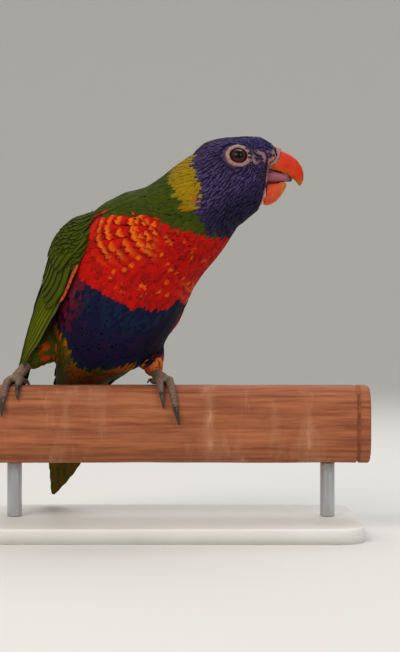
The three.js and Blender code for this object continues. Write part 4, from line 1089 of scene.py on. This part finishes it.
# Claw horn: dark and half glossy, with faint streaks
claw_horn, tree, shader = material("claw_keratin", {"Roughness": 0.35})
place = add(tree, "TexCoord").outputs["Object"]
streaks = add(tree, "TexNoise", {"Scale": 500.0, "Detail": 4.0}, {"Vector": place})
ramp = add(tree, "ValToRGB", {}, {"Fac": streaks.outputs["Fac"]})
ramp.color_ramp.elements[0].color, ramp.color_ramp.elements[1].color = shade("#15100e"), shade("#3a2e2a")
tree.links.new(ramp.outputs["Color"], shader.inputs["Base Color"])

FOOT_GREY, FOOT_PINK, FOOT_DARK = linear("#6a5344"), linear("#8e7464"), linear("#302622")
for side in ("right", "left"):
    toes = ["toe_%s_%s" % (side, toe) for toe in TOE_NAMES]
    foot = melted("foot_skin_" + side, ["foot_" + side] + toes, 0.32 * MM, 4, fill=0.2 * MM)
    points, normals = points_of(foot), normals_of(foot)
    walk = round_the_rail(points)
    on_toe = ease(4.5 * MM, 6.5 * MM, walk) * (1 - ease(rail_top + 5 * MM, rail_top + 8 * MM, points[:, 2]))
    ridge = np.abs(np.mod(walk / SCUTE, 1) - 0.5) * 2
    groove = 1 - ease(0.0, 0.34, 1 - ridge)
    points -= normals * (0.2 * MM * groove * on_toe)[:, None]
    wrinkle = np.array([noise.noise(Vector(p) * 900) for p in points])
    points += normals * (0.1 * MM * wrinkle - 0.1 * MM)[:, None]
    foot.data.vertices.foreach_set("co", points.astype(np.float32).ravel())
    pale = np.clip(0.45 + 0.7 * wrinkle, 0, 1)
    tone = blend(FOOT_GREY, FOOT_PINK, pale * 0.45)
    paint(foot, blend(tone, FOOT_DARK, 0.75 * groove * on_toe))
    dress(foot, horn, "scaly_skin", "foot_" + side, *toes)
    for toe in TOE_NAMES:
        source = "claw_%s_%s" % (side, toe)
        claw = melted("claw_horn_%s_%s" % (side, toe), [source], 0.2 * MM, 3, fill=0.05 * MM)
        dress(claw, claw_horn, "claw", source)

# Eyes: a glassy ball with a black pupil in a thin red-brown iris, behind a wet clear front. Round it
# lies a ring of bare, pinkish skin, puckered like a drawn purse, which is the edge of the lids.
EYE_WAY = Vector((0.12, -0.94, 0.32)).normalized()
LID_INNER, LID_OUTER = 4.5 * MM, 6.9 * MM
PUPIL, IRIS_RED, IRIS_END = 2.3, 3.5, 4.5  # radii in millimetres, seen from in front
LID_FOLDS = 34

# Bare skin: soft and a little translucent, with fine beads that keep it from shining
bare_skin = {"Roughness": 0.55, "Subsurface Weight": 0.15, "Subsurface Scale": 0.001}
lid_skin, tree, shader = material("bare_lid_skin", bare_skin)
pigment = add(tree, "VertexColor", {"layer_name": "pigment"}).outputs["Color"]
place = add(tree, "TexCoord").outputs["Object"]
beads = add(tree, "TexVoronoi", {"Scale": 1700.0}, {"Vector": place})
tree.links.new(pigment, shader.inputs["Base Color"])
bump = add(tree, "Bump", {"Strength": 0.5, "Distance": 0.00015}, {"Height": beads.outputs["Distance"]})
tree.links.new(bump.outputs["Normal"], shader.inputs["Normal"])

# Wet cornea: small sharp highlights over the iris
eye_glass, tree, shader = material("wet_eye", {"Roughness": 0.08, "Specular IOR Level": 0.16})
pigment = add(tree, "VertexColor", {"layer_name": "pigment"}).outputs["Color"]
tree.links.new(pigment, shader.inputs["Base Color"])

EYE_TONES = tones(pupil="#070506", iris="#3a150e", rim="#260e0a")
EYE_RINGS, EYE_SIDES, LID_SIDES = 48, 64, 180
LID_PALE, LID_PINK, LID_DARK = linear("#a07a74"), linear("#8a605d"), linear("#3c2024")
for hand, side in ((1, "right"), (-1, "left")):
    low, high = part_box("eye_" + side)
    centre, radius = (low + high) / 2, (high.z - low.z) / 2
    way = Vector((EYE_WAY.x, EYE_WAY.y * hand, EYE_WAY.z))
    up = (Vector((0, 0, 1)) - way * way.z).normalized()
    frame_of_eye = np.array([up.cross(way), up, way])
    rings = []
    tilt = np.linspace(0.02, math.pi - 0.02, EYE_RINGS)
    turns = turn_steps(EYE_SIDES)
    for angle in tilt:
        lift = radius * (1 + 0.045 * math.exp(-((angle / 0.5) ** 2)))  # the clear front stands out
        ring = np.stack([np.sin(angle) * np.cos(turns), np.sin(angle) * np.sin(turns),
                         np.full(EYE_SIDES, math.cos(angle))], 1) * lift * 0.995
        rings.append(ring @ frame_of_eye + np.array(centre))
    ball = loft("eyeball_" + side, np.array(rings))
    behind = np.repeat(tilt, EYE_SIDES) > 1.5
    off = np.repeat(np.sin(tilt) * radius / MM, EYE_SIDES) + behind * 10
    spokes = 0.15 * np.sin(np.tile(turns, EYE_RINGS) * 23) * ease(PUPIL, IRIS_END, off)
    tone = blend(EYE_TONES["pupil"], EYE_TONES["iris"], ease(PUPIL, PUPIL + 0.35, off))
    tone = blend(tone, EYE_TONES["rim"], np.clip(ease(IRIS_RED, IRIS_END, off + spokes), 0, 1))
    paint(ball, tone)
    dress(ball, eye_glass, "eye", "eye_" + side)
    rings = []
    seat = math.sqrt(radius**2 - LID_INNER**2)
    outline = [(LID_INNER - 0.1 * MM, -0.9), (LID_INNER - 0.12 * MM, 0.15), (LID_INNER + 0.25 * MM, 0.85),
               (LID_INNER + 0.8 * MM, 1.05), (LID_INNER + 1.5 * MM, 0.85), (LID_INNER + 2.2 * MM, 0.35),
               (LID_OUTER, -0.5), (LID_OUTER - 0.2 * MM, -1.9), (LID_INNER + 0.3 * MM, -1.9)]
    outline = spline([(a, b * MM) for a, b in outline + outline[:1]], np.linspace(0, 1, 33))[0][:-1]
    for turn in turn_steps(LID_SIDES):
        fold = math.sin(turn * LID_FOLDS + 2.5 * math.sin(turn * 3) + 1.5 * math.sin(turn * 7 + 1))
        pleat = 0.05 * MM * fold + 0.07 * MM * math.sin(turn * 13 + 1) + 0.05 * MM * math.sin(turn * 8)
        lobe = 1 + 0.045 * math.cos(2 * turn) + 0.012 * math.sin(5 * turn + 0.6) + 0.01 * math.sin(9 * turn)
        ring = []
        for across, height in outline:
            weight = float(ease(LID_INNER, LID_INNER + 1.2 * MM, across)) * (height > -1.2 * MM)
            r, h = across * lobe, seat + height + pleat * weight
            spot = np.array([r * math.cos(turn), r * math.sin(turn), h])
            ring.append(spot @ frame_of_eye + np.array(centre))
        rings.append(ring)
    rings = np.array(rings)
    around, per = rings.shape[:2]
    lid = mesh_object("lid_ring_" + side, rings.reshape(-1, 3), ring_faces(around, per, closed=True))
    outward(lid)
    reach = np.tile(outline[:, 0], around)
    blotch = np.array([noise.noise(Vector(q) * 900) for q in rings.reshape(-1, 3)])
    tone = blend(LID_PALE, LID_PINK, np.clip(0.5 + 1.1 * blotch, 0, 1))
    tone = blend(tone, LID_DARK, 1 - ease(LID_INNER - 0.1 * MM, LID_INNER + 0.45 * MM, reach))
    tone = blend(tone, LID_DARK, 0.55 * ease(LID_OUTER - 0.6 * MM, LID_OUTER, reach))
    paint(lid, tone)
    dress(lid, lid_skin, "bare_skin")

# Bill: a hooked upper half and a scooped lower half of layered, translucent keratin, orange-red and
# yellower at the tip and edges. The cere over the nostrils is bare skin, and the tongue is dry and blunt.
layered = {"Roughness": 0.5, "Specular IOR Level": 0.22, "Subsurface Weight": 0.08, "Subsurface Scale": 0.001}
keratin, tree, shader = material("bill_keratin", layered)
pigment = add(tree, "VertexColor", {"layer_name": "pigment"}).outputs["Color"]
place = add(tree, "TexCoord").outputs["Object"]
layers = add(tree, "TexNoise", {"Scale": 260.0, "Detail": 4.0, "Distortion": 0.6}, {"Vector": place})
uneven = add(tree, "MapRange", {"From Min": 0.3, "From Max": 0.7, "To Min": 0.86, "To Max": 1.12},
             {"Value": layers.outputs["Fac"]})
scaled = add(tree, "VectorMath", {"operation": "SCALE"}, {0: pigment, "Scale": uneven.outputs[0]})
tree.links.new(scaled.outputs[0], shader.inputs["Base Color"])
bump = add(tree, "Bump", {"Strength": 0.12, "Distance": 0.0002}, {"Height": layers.outputs["Fac"]})
tree.links.new(bump.outputs["Normal"], shader.inputs["Normal"])

# gape is a dark red, painted as the shade inside the mouth
BILL_TONES = tones(
    orange="#c62a00", base="#cc4210", edge="#cc6014", tip="#a05c02", gape="#5e1210", low_base="#cc4820",
    low_edge="#c0701a", cere="#a8766e", cere_dark="#7c544f", tongue="#96505e", tongue_tip="#2e1c20",
)
BILL_VOXEL = 0.3 * MM
upper = melted("bill_upper_horn", ["bill_upper"], BILL_VOXEL, 6, fill=0.1 * MM)
p = points_of(upper) / MM
tone = blend(BILL_TONES["base"], BILL_TONES["orange"], ease(57, 63, p[:, 0]))
low_and_back = (1 - ease(196.5, 199.5, p[:, 2])) * (1 - ease(60, 70, p[:, 0]))
tone = blend(tone, BILL_TONES["edge"], 0.8 * low_and_back)
tone = blend(tone, BILL_TONES["tip"], 1 - ease(189.5, 195, p[:, 2]))
paint(upper, tone)
dress(upper, keratin, "bill", "bill_upper")

lower = melted("bill_lower_horn", ["bill_lower"], BILL_VOXEL, 6, fill=0.1 * MM)
p = points_of(lower) / MM
paint(lower, blend(BILL_TONES["low_base"], BILL_TONES["low_edge"], 0.8 * ease(57.5, 62.5, p[:, 0])))
dress(lower, keratin, "bill", "bill_lower")

# The tongue is thick at its root and blunt at its brushy tip. Stations: x, z, half width, half height.
TONGUE = [(48.5, 193.4, 1.0, 0.8), (49.5, 193.7, 3.2, 3.0), (53, 194.1, 3.6, 3.5), (57, 194.1, 3.5, 3.3),
          (61, 193.8, 3.0, 2.5), (64, 193.1, 2.3, 1.7), (65.8, 192.7, 1.5, 1.1), (66.3, 192.6, 0.6, 0.5)]
HEAD_MIDDLE_Y = -3.5
MOUTH_SIDES = 36
around = turn_steps(MOUTH_SIDES)


def mouth_loft(name, stations, steps, furrow=0.0):
    """A closed form along the bill, through the stations, with a furrow down the middle of its top."""
    rings = []
    for x, z, wide, high in spline(stations, np.linspace(0, 1, steps))[0]:
        dip = furrow * np.exp(-((np.sin(around) / 0.25) ** 2)) * (np.cos(around) > 0) * min(1, high)
        ring_y = HEAD_MIDDLE_Y + wide * np.sin(around)
        rings.append(np.stack([np.full(MOUTH_SIDES, x), ring_y, z + (high - dip) * np.cos(around)], 1) * MM)
    return loft(name, np.array(rings))


tongue = mouth_loft("tongue_flesh", TONGUE, 36, furrow=0.25)
p = points_of(tongue) / MM
paint(tongue, blend(BILL_TONES["tongue"], BILL_TONES["tongue_tip"], ease(62.5, 66, p[:, 0])))
dress(tongue, lid_skin, "tongue", "tongue")

# The mouth is lined with skin painted dark red as the shade inside it, which closes the view through it
# behind the tongue
LINING = [(47, 195, 1.0, 2.5), (48, 195, 3.0, 5.4), (52, 195.2, 3.2, 6.2), (56, 194.6, 2.8, 5.4),
          (59.5, 194.4, 1.8, 3.6), (61.5, 194.2, 0.5, 1.0)]
lining = mouth_loft("mouth_lining", LINING, 30)
paint(lining, BILL_TONES["gape"])
dress(lining, lid_skin, "bare_skin")

# The corners of the mouth are a soft rim of bare skin down the root of the bill on each side.
# Stations: x, distance from the head's middle plane, z, radius.
GAPE_RIM = [(53.8, 5.2, 202.2, 0.2), (53.3, 5.8, 200.4, 0.5), (52.5, 6.1, 197, 0.75), (51.9, 6.2, 193, 0.8),
            (51.4, 6.2, 189, 0.75), (50.9, 5.9, 185, 0.7), (50.0, 5.0, 181, 0.6), (48.7, 3.6, 178.7, 0.4),
            (47.9, 2.5, 178.2, 0.2)]
RIM_RINGS = 60
for hand, side in ((-1, "right"), (1, "left")):
    line, slope = spline(GAPE_RIM, np.linspace(0, 1, RIM_RINGS))
    ahead = unit(slope[:, :3])
    aside = unit(np.cross(ahead, np.array([0.0, 1.0, 0.0])))
    third = np.cross(ahead, aside)
    rim_rings = []
    for k in range(RIM_RINGS):
        swell = line[k, 3] * (1 + 0.12 * math.sin(k * 1.1) + 0.08 * math.sin(k * 2.3))
        ring = line[k, :3] + swell * (np.sin(around)[:, None] * aside[k] + np.cos(around)[:, None] * third[k])
        ring[:, 1] = HEAD_MIDDLE_Y + hand * ring[:, 1]
        rim_rings.append(ring * MM)
    rim = loft("gape_rim_" + side, np.array(rim_rings))
    p = points_of(rim) / MM
    # Painted shade: the rim darkens towards the mouth's dark red along the part beside the open mouth
    deep = ease(190, 197, p[:, 2]) * (1 - ease(199, 203, p[:, 2]))
    paint(rim, blend(PIGMENT["gape"], BILL_TONES["gape"], 0.75 * deep))
    dress(rim, lid_skin, "bare_skin")

cere = melted("cere_skin", ["cere"], 0.22 * MM, 4, fill=0.1 * MM)
p = points_of(cere) / MM
mottle = np.array([0.5 + 0.5 * noise.noise(Vector(q) * 0.9) for q in p])
paint(cere, blend(BILL_TONES["cere"], BILL_TONES["cere_dark"], mottle))
dress(cere, lid_skin, "bare_skin", "cere")

# Wings: folded, each a fleshy arm under shingled coverts, with flight quills that run down past the
# rail. Quills are stiff green vanes on a shaft, blackish on their hidden webs, yellower at the edge.
WING_SHEETS = {
    "right": (1, [
        ((-45, -9, 172), (-0.7, -0.35, 0.62), 27),
        ((-60.5, -6, 156.5), (-0.88, -0.3, 0.36), 30),
        ((-67, -2, 139), (-0.93, -0.28, 0.22), 31),
        ((-74, 5, 123.5), (-0.95, -0.15, 0.25), 31),
        ((-80, 15, 107), (-0.96, 0.05, 0.25), 31),
        ((-86, 27, 82), (-0.93, 0.25, 0.2), 30),
        ((-92, 36, 56), (-0.9, 0.35, 0.18), 30),
    ]),
    "left": (-1, [
        ((0, 32.5, 153), (0.2, 0.95, -0.22), 27),
        ((-7, 34, 136), (0.3, 0.93, -0.22), 30),
        ((-14, 35.5, 123), (0.36, 0.93, -0.1), 31),
        ((-31, 40, 109.5), (0.34, 0.92, 0.05), 31),
        ((-49, 45, 94.5), (0.22, 0.94, 0.2), 31),
        ((-59.5, 50.5, 76), (0.12, 0.95, 0.25), 30),
        ((-63, 54.5, 53), (0.1, 0.96, 0.2), 30),
        ((-66, 57, 37), (0.1, 0.96, 0.2), 30),
    ]),
}
# The arm by place along the sheet: the share of its full width, and how high its outer side stands
ARM = [(-5, 0.1, 0.2), (0, 0.55, 1.8), (8, 0.9, 3.3), (18, 1, 3.2), (28, 0.98, 2.2), (38, 0.9, 1.2),
       (46, 0.6, 0.3)]
ARM_LEAD, ARM_TRAIL, ARM_DEPTH = -23, 27, 7  # its edges across the sheet, and its depth inwards
ARM_MIDDLE, ARM_HALF = (ARM_LEAD + ARM_TRAIL) / 2, (ARM_TRAIL - ARM_LEAD) / 2


def sheet(stations, hand):
    """A curved sheet that quills are laid on: gives the point a millimetres along, b across and h out."""
    steps = np.linspace(0, 1, 700)
    line, slope = spline([s[0] for s in stations], steps)
    ahead = unit(slope)
    out = spline([s[1] for s in stations], steps)[0]
    out = unit(out - (out * ahead).sum(1)[:, None] * ahead)
    across = np.cross(ahead, out) * hand
    bow = spline([[s[2]] for s in stations], steps)[0]
    length = np.concatenate([[0], np.cumsum(np.linalg.norm(np.diff(line, axis=0), axis=1))])
    table = np.hstack([line, ahead, out, across, bow])

    def lay(a, b, h):
        held = np.clip(a, 0, length[-1])
        row = np.stack([np.interp(held, length, table[:, i]) for i in range(13)], 1)
        turn, radius = b / row[:, 12], row[:, 12] + h
        point = row[:, 0:3] + row[:, 3:6] * (a - held)[:, None]
        point += row[:, 6:9] * (radius * np.cos(turn) - row[:, 12])[:, None]
        return (point + row[:, 9:12] * (radius * np.sin(turn))[:, None]) * MM

    return lay, length[-1]


def arm_top(a, b):
    """Height of the arm's outer side over the sheet, in millimetres."""
    share, top = (np.interp(a, [row[0] for row in ARM], [row[i] for row in ARM]) for i in (1, 2))
    return top * np.sqrt(np.clip(1 - ((b - ARM_MIDDLE) / (ARM_HALF * share)) ** 2, 0, 1))


QUILL_SHAPES = {
    "plume": ([0, 0.12, 0.42, 0.82, 0.95, 1], [0.4, 0.66, 1, 0.84, 0.5, 0.1]),
    "covert": ([0, 0.3, 0.68, 0.9, 1], [0.55, 0.86, 1, 0.7, 0.12]),
}


def quills(name, lay, site, feathers, colours, rows=20, columns=9):
    """Lays a tract of quills on a sheet. Each vane is a thin closed blade with a raised shaft."""
    share, across, inner, faces = vane_grid(rows, columns)
    blades, rooted, draws = [], [], []
    smooth_share = np.linspace(0, 1, 60)
    for feather in feathers:
        root, tip = np.array(feather["root"], float), np.array(feather["tip"], float)
        way = (tip - root) / np.linalg.norm(tip - root)
        aside = np.array([-way[1], way[0]])
        knots, widths = QUILL_SHAPES[feather["shape"]]
        rounded = np.convolve(np.interp(smooth_share, knots, widths), np.ones(7) / 7, mode="same")
        outline = 0.5 * np.interp(share, knots, widths) + 0.5 * np.interp(share, smooth_share, rounded)
        half = feather["width"] / 2 * np.maximum(outline, 0.08)
        x = across * half * (1 + 0.03 * rng.standard_normal(len(share)) * (np.abs(across) > 0.9))
        bend = feather["bend"] * np.sin(np.pi * share)
        a = root[0] + (tip - root)[0] * share + aside[0] * (x + bend)
        b = root[1] + (tip - root)[1] * share + aside[1] * (x + bend)
        height = feather["rise"][0] + (feather["rise"][1] - feather["rise"][0]) * share
        height = height - feather["tilt"] * x - 0.012 * x**2
        thick = np.zeros(len(share))
        thick[inner] = 0.3 * (1 - 0.5 * share[inner]) * (1 - 0.3 * np.abs(across[inner]))
        shaft = 0.25 * (np.abs(across) < 0.05) * (1 - 0.8 * share)
        upper = lay(a, b, height + thick / 2 + shaft)
        lower = lay(a, b, height - thick / 2)[inner]
        blades.append(np.concatenate([upper, lower]))
        rooted.append(lay(root[:1], root[1:], np.zeros(1))[0])
        draws.append(rng.random())
    points = np.array(blades)
    places = bake_place(np.array(rooted), site)
    made, full_share, full_across = blade_object(name, points, inner, faces, share, across, places)
    count, per = points.shape[:2]
    kinds, chance = (np.repeat(values, per) for values in ([feather["kind"] for feather in feathers], draws))
    full_share, full_across, lower = (
        np.tile(values, count) for values in (full_share, full_across, np.arange(per) >= rows * columns))
    paint(made, colours(kinds, full_share, full_across, chance, lower))
    return made


def quill(kind, root, tip, width, rise, tilt, shape="covert", bend=0):
    """One feather of a sheet, in millimetres: where its root and tip lie along and across the sheet,
    and how high over it. tilt turns its vane over the next, and bend bows it sideways."""
    return {"kind": kind, "root": root, "tip": tip, "width": width, "rise": rise, "tilt": tilt,
            "shape": shape, "bend": bend}


WING_PIGMENT = tones(green="#4a5402", deep="#343e02", lime="#667002", dusky="#10120a", pale_edge="#7c8a62",
                     salmon="#cc5f30", scarlet="#b43016")


def wing_colours(kinds, share, middle, chance, lower):
    """Green vanes, limier at the wing's outer edge, dusky below and on their hidden inner webs. The trailing
    coverts are made limier as painted light, and every tip darker as painted shade.
    """
    colour = blend(WING_PIGMENT["green"], WING_PIGMENT["deep"], 0.2 + 0.4 * chance)
    quill = np.isin(kinds, ["first", "primary", "secondary"])
    colour = blend(colour, WING_PIGMENT["dusky"], quill * 0.85 * ease(0.1, 0.5, middle))
    colour = blend(colour, WING_PIGMENT["lime"], (kinds == "primary") * 0.8 * ease(0.0, 0.7, -middle))
    colour = blend(colour, WING_PIGMENT["pale_edge"], (kinds == "first") * 0.4 * ease(0.7, 0.97, -middle))
    # Painted light: the outer coverts, over the secondaries, are made limier as a sunlit side, by an amount
    # that varies per feather
    colour = blend(colour, WING_PIGMENT["lime"], (kinds == "outer") * (0.15 + 0.3 * chance))
    colour = blend(colour, WING_PIGMENT["deep"], (kinds == "edge") * 0.5)
    colour = blend(colour, WING_PIGMENT["dusky"], (np.abs(middle) < 0.06) * 0.35)
    colour = blend(colour, WING_PIGMENT["dusky"], 0.8 * lower)
    lining = kinds == "lining"
    colour = blend(colour, WING_PIGMENT["salmon"], lining * 1.0)
    colour = blend(colour, WING_PIGMENT["scarlet"], lining * (0.2 + 0.6 * ease(0.3, 0.9, chance)))
    # Painted shade: every feather but the lining is darker at its tip, which marks the tiers of the folded
    # wing
    return blend(colour, 0.45 * colour, 0.6 * ease(0.9, 1.0, share) * ~lining)


PRIMARIES, SECONDARIES, GREATER, MEDIAN = 9, 11, 12, 11


def wing_feathers(long):
    """The flight quills of one wing, and the greater and median coverts over their roots. i and j run
    over the same range as in the solids, which have fewer and broader vanes."""
    found = []
    for i in np.linspace(0, 6, PRIMARIES):
        short = 5 * max(0, 1 - i) + max(0, i - 1.5) * 9.6
        tip = (long - 1 - short, -6 + i * 2.8)
        kind, root, bend = "primary" if i else "first", (22 + i, -17 + i * 2.7), -4.6 + 0.6 * i
        found.append(quill(kind, root, tip, 12 + 0.3 * i, (0.4, -0.6), 0.3, "plume", bend))
    for j in np.linspace(0, 6, SECONDARIES):
        tip = (81 - j * 3.2, 13 + j * 3.3)
        found.append(quill("secondary", (26 - j, 3 + j * 3.6), tip, 12.5, (0.9, 0.5), 0.26, "plume"))
    for j in np.linspace(0, 6, GREATER):
        root, tip = (16 - 0.6 * j, -19 + j * 6.8), (52 - 2 * j, -16 + j * 7.2)
        found.append(quill("outer" if j > 2 else "covert", root, tip, 9.5, (1.6, 2.3), 0.22))
    for j in np.linspace(0, 4, MEDIAN):
        root, tip = (6, -16 + j * 9), (34 - 1.4 * j, -15 + j * 9.2)
        found.append(quill("outer" if j > 1.5 else "covert", root, tip, 9, (2.4, 3.4), 0.2))
    return found


def lesser_coverts():
    """Small coverts over the arm, in rows from the bend of the wing back to the median coverts."""
    found = []
    for row, a in enumerate(np.arange(-4, 20, 2.6)):
        half = 24 * float(np.interp(a, [item[0] for item in ARM], [item[1] for item in ARM]))
        for b in np.arange(-half + 1.2 * (row % 2), half, 3.6):
            start, end = b + 2, b * 1.04 + 2
            length = 10 + 1.6 * rng.random()
            sunk = 1.5 * max(0, 1 - (a + 4) / 7)
            rise = (float(arm_top(a, start)) - 0.3 - sunk, float(arm_top(a + length, end)) + 1.5 - 0.3 * sunk)
            kind = "edge" if b < -half + 8 else "covert"
            width = 6 + rng.random()
            found.append(quill(kind, (a, start), (a + length, end), width, rise, 0.1 + 0.1 * rng.random()))
    return found


def under_lining(edge):
    """Salmon feathers of the wing's lining, which show along the leading edge from in front."""
    found = []
    for k in range(6):
        a = 20 + 2.6 * k
        root, tip = (a, edge + 0.2 * k), (a + 12, edge - 0.8 + 0.5 * k)
        found.append(quill("lining", root, tip, 2.5, (0.9, 2.4), 0.3))
    return found


def end_round(share):
    """1 over most of a form's length, falling in a round to almost nothing at both its ends."""
    return math.sqrt(max(1 - (2 * share - 1) ** 8, 0.0004))


CORE_RINGS, CORE_SIDES = 40, 64
LINING_EDGE = {"right": -24, "left": -23}  # how far in the lining starts, across the sheet
turns = turn_steps(CORE_SIDES)
for side, (hand, stations) in WING_SHEETS.items():
    lay, long = sheet(stations, hand)
    arm_rings = []
    for step in np.linspace(0, 1, CORE_RINGS):
        a, share, top = (np.interp(step * 6, range(7), [row[i] for row in ARM]) for i in range(3))
        closed = end_round(step) * (0.1 + 0.9 * float(ease(-5, 9, a)))
        b = ARM_MIDDLE + ARM_HALF * share * 0.96 * np.sin(turns) * closed
        rise = np.where(np.cos(turns) > 0, top * 0.9, ARM_DEPTH * share) * np.cos(turns) * closed
        arm_rings.append(lay(np.full(CORE_SIDES, a), b, rise))
    arm = loft("wing_arm_" + side, np.array(arm_rings))
    paint(arm, WING_PIGMENT["deep"])
    dress(arm, hide, "plumage_green", "wing_" + side)
    arm_site = site_of(arm)
    flight = quills("wing_quills_" + side, lay, arm_site, wing_feathers(long), wing_colours)
    coverts = lesser_coverts() + under_lining(LINING_EDGE[side])
    small = quills("wing_coverts_" + side, lay, arm_site, coverts, wing_colours, rows=8, columns=7)
    for piece in (flight, small):
        dress(piece, plume, "plumage_green")

# Tail: twelve narrow, pointed quills closed in a fan, the middle pair on top and longest, with coverts
# over and under their roots. Olive-brown from in front, where the dull undersides show.
TAIL_SHEET = [
    ((-50, 31, 88), (-0.1, 0.95, 0.3), 26),
    ((-54.5, 37, 70), (-0.1, 0.97, 0.2), 28),
    ((-59, 42, 50), (-0.1, 0.98, 0.15), 32),
    ((-63.8, 46, 31), (-0.1, 0.98, 0.15), 36),
    ((-69.5, 49, 14.4), (-0.1, 0.98, 0.15), 40),
]
TAIL_STUMP = [
    ((-50, 29, 90), (-0.1, 0.95, 0.3), (14, 7, 8)),
    ((-53, 34.5, 76), (-0.1, 0.97, 0.2), (12.5, 6, 6.5)),
    ((-57.5, 39.5, 60), (-0.1, 0.98, 0.15), (10, 3.6, 4.2)),
    ((-62, 43.5, 43), (-0.1, 0.98, 0.15), (6, 1.4, 1.6)),
]
TAIL_PIGMENT = tones(top="#3c5c12", under="#5e4612", olive="#5a5a10", vent="#8a5a0c")


def tail_colours(kinds, share, middle, chance, lower):
    """Green above, brown on the undersides, and olive to orange on the coverts round the vent."""
    colour = blend(TAIL_PIGMENT["top"], TAIL_PIGMENT["olive"], 0.5 * chance)
    colour = blend(colour, TAIL_PIGMENT["under"], (kinds != "vent") * lower * 0.9)
    colour = blend(colour, TAIL_PIGMENT["olive"], (kinds == "vent") * 0.9)
    colour = blend(colour, TAIL_PIGMENT["vent"], (kinds == "vent") * ease(0.4, 0.8, chance))
    # Painted shade: each vane darkens towards its sides, where the feathers overlap
    return blend(colour, 0.5 * colour, 0.4 * ease(0.4, 1, np.abs(middle)))


lay, long = sheet(TAIL_SHEET, 1)
feathers = []
for pair in range(5, -1, -1):
    for hand in (-1, 1) if pair else (0,):
        tip = (long - pair * 6.2, hand * (pair * 2.4 + 0.2))
        root, rise = (8, hand * pair * 1.5), (0.6 - pair * 0.1, 0.9 - pair * 0.72)
        feathers.append(quill("tail", root, tip, 11.5 - 0.3 * pair, rise, hand * -0.07, "plume"))
for over, reach in ((1, 34), (-1, 40)):
    for tier in range(3):
        for k in range(-3, 4):
            off = k * 2.9 + (tier % 2) * 1.4
            tip = (reach - tier * 9 - 2.2 * abs(k), off)
            rise = (over * (3.0 + 0.6 * tier), over * (3 + 0.5 * tier) - (over < 0) * 2.2)
            kind = "tail" if over > 0 else "vent"
            feathers.append(quill(kind, (4 - tier * 4, off), tip, 7.5, rise, 0.05 * np.sign(k) * over))
stump = axis_of([(s[0], s[1]) for s in TAIL_STUMP], CORE_RINGS)
stump_sizes = spline([s[2] for s in TAIL_STUMP], np.linspace(0, 1, CORE_RINGS))[0] * 0.85
stump_rings = []
for k in range(CORE_RINGS):
    closed = end_round(k / (CORE_RINGS - 1))
    depth = np.where(np.cos(turns) > 0, stump_sizes[k, 1], stump_sizes[k, 2]) * closed * MM
    ring = stump["line"][k] + stump["side"][k] * (stump_sizes[k, 0] * MM * closed * np.sin(turns))[:, None]
    stump_rings.append(ring + stump["back"][k] * (depth * np.cos(turns))[:, None])
tail_stump = loft("tail_stump", np.array(stump_rings))
# Painted shade: the stump under the quills takes the undersides' brown, darkened
paint(tail_stump, TAIL_PIGMENT["under"] * 0.7)
dress(tail_stump, hide, "tail_feathers", "tail")
tail_quills = quills("tail_quills", lay, site_of(tail_stump), feathers, tail_colours)
dress(tail_quills, plume, "tail_feathers")
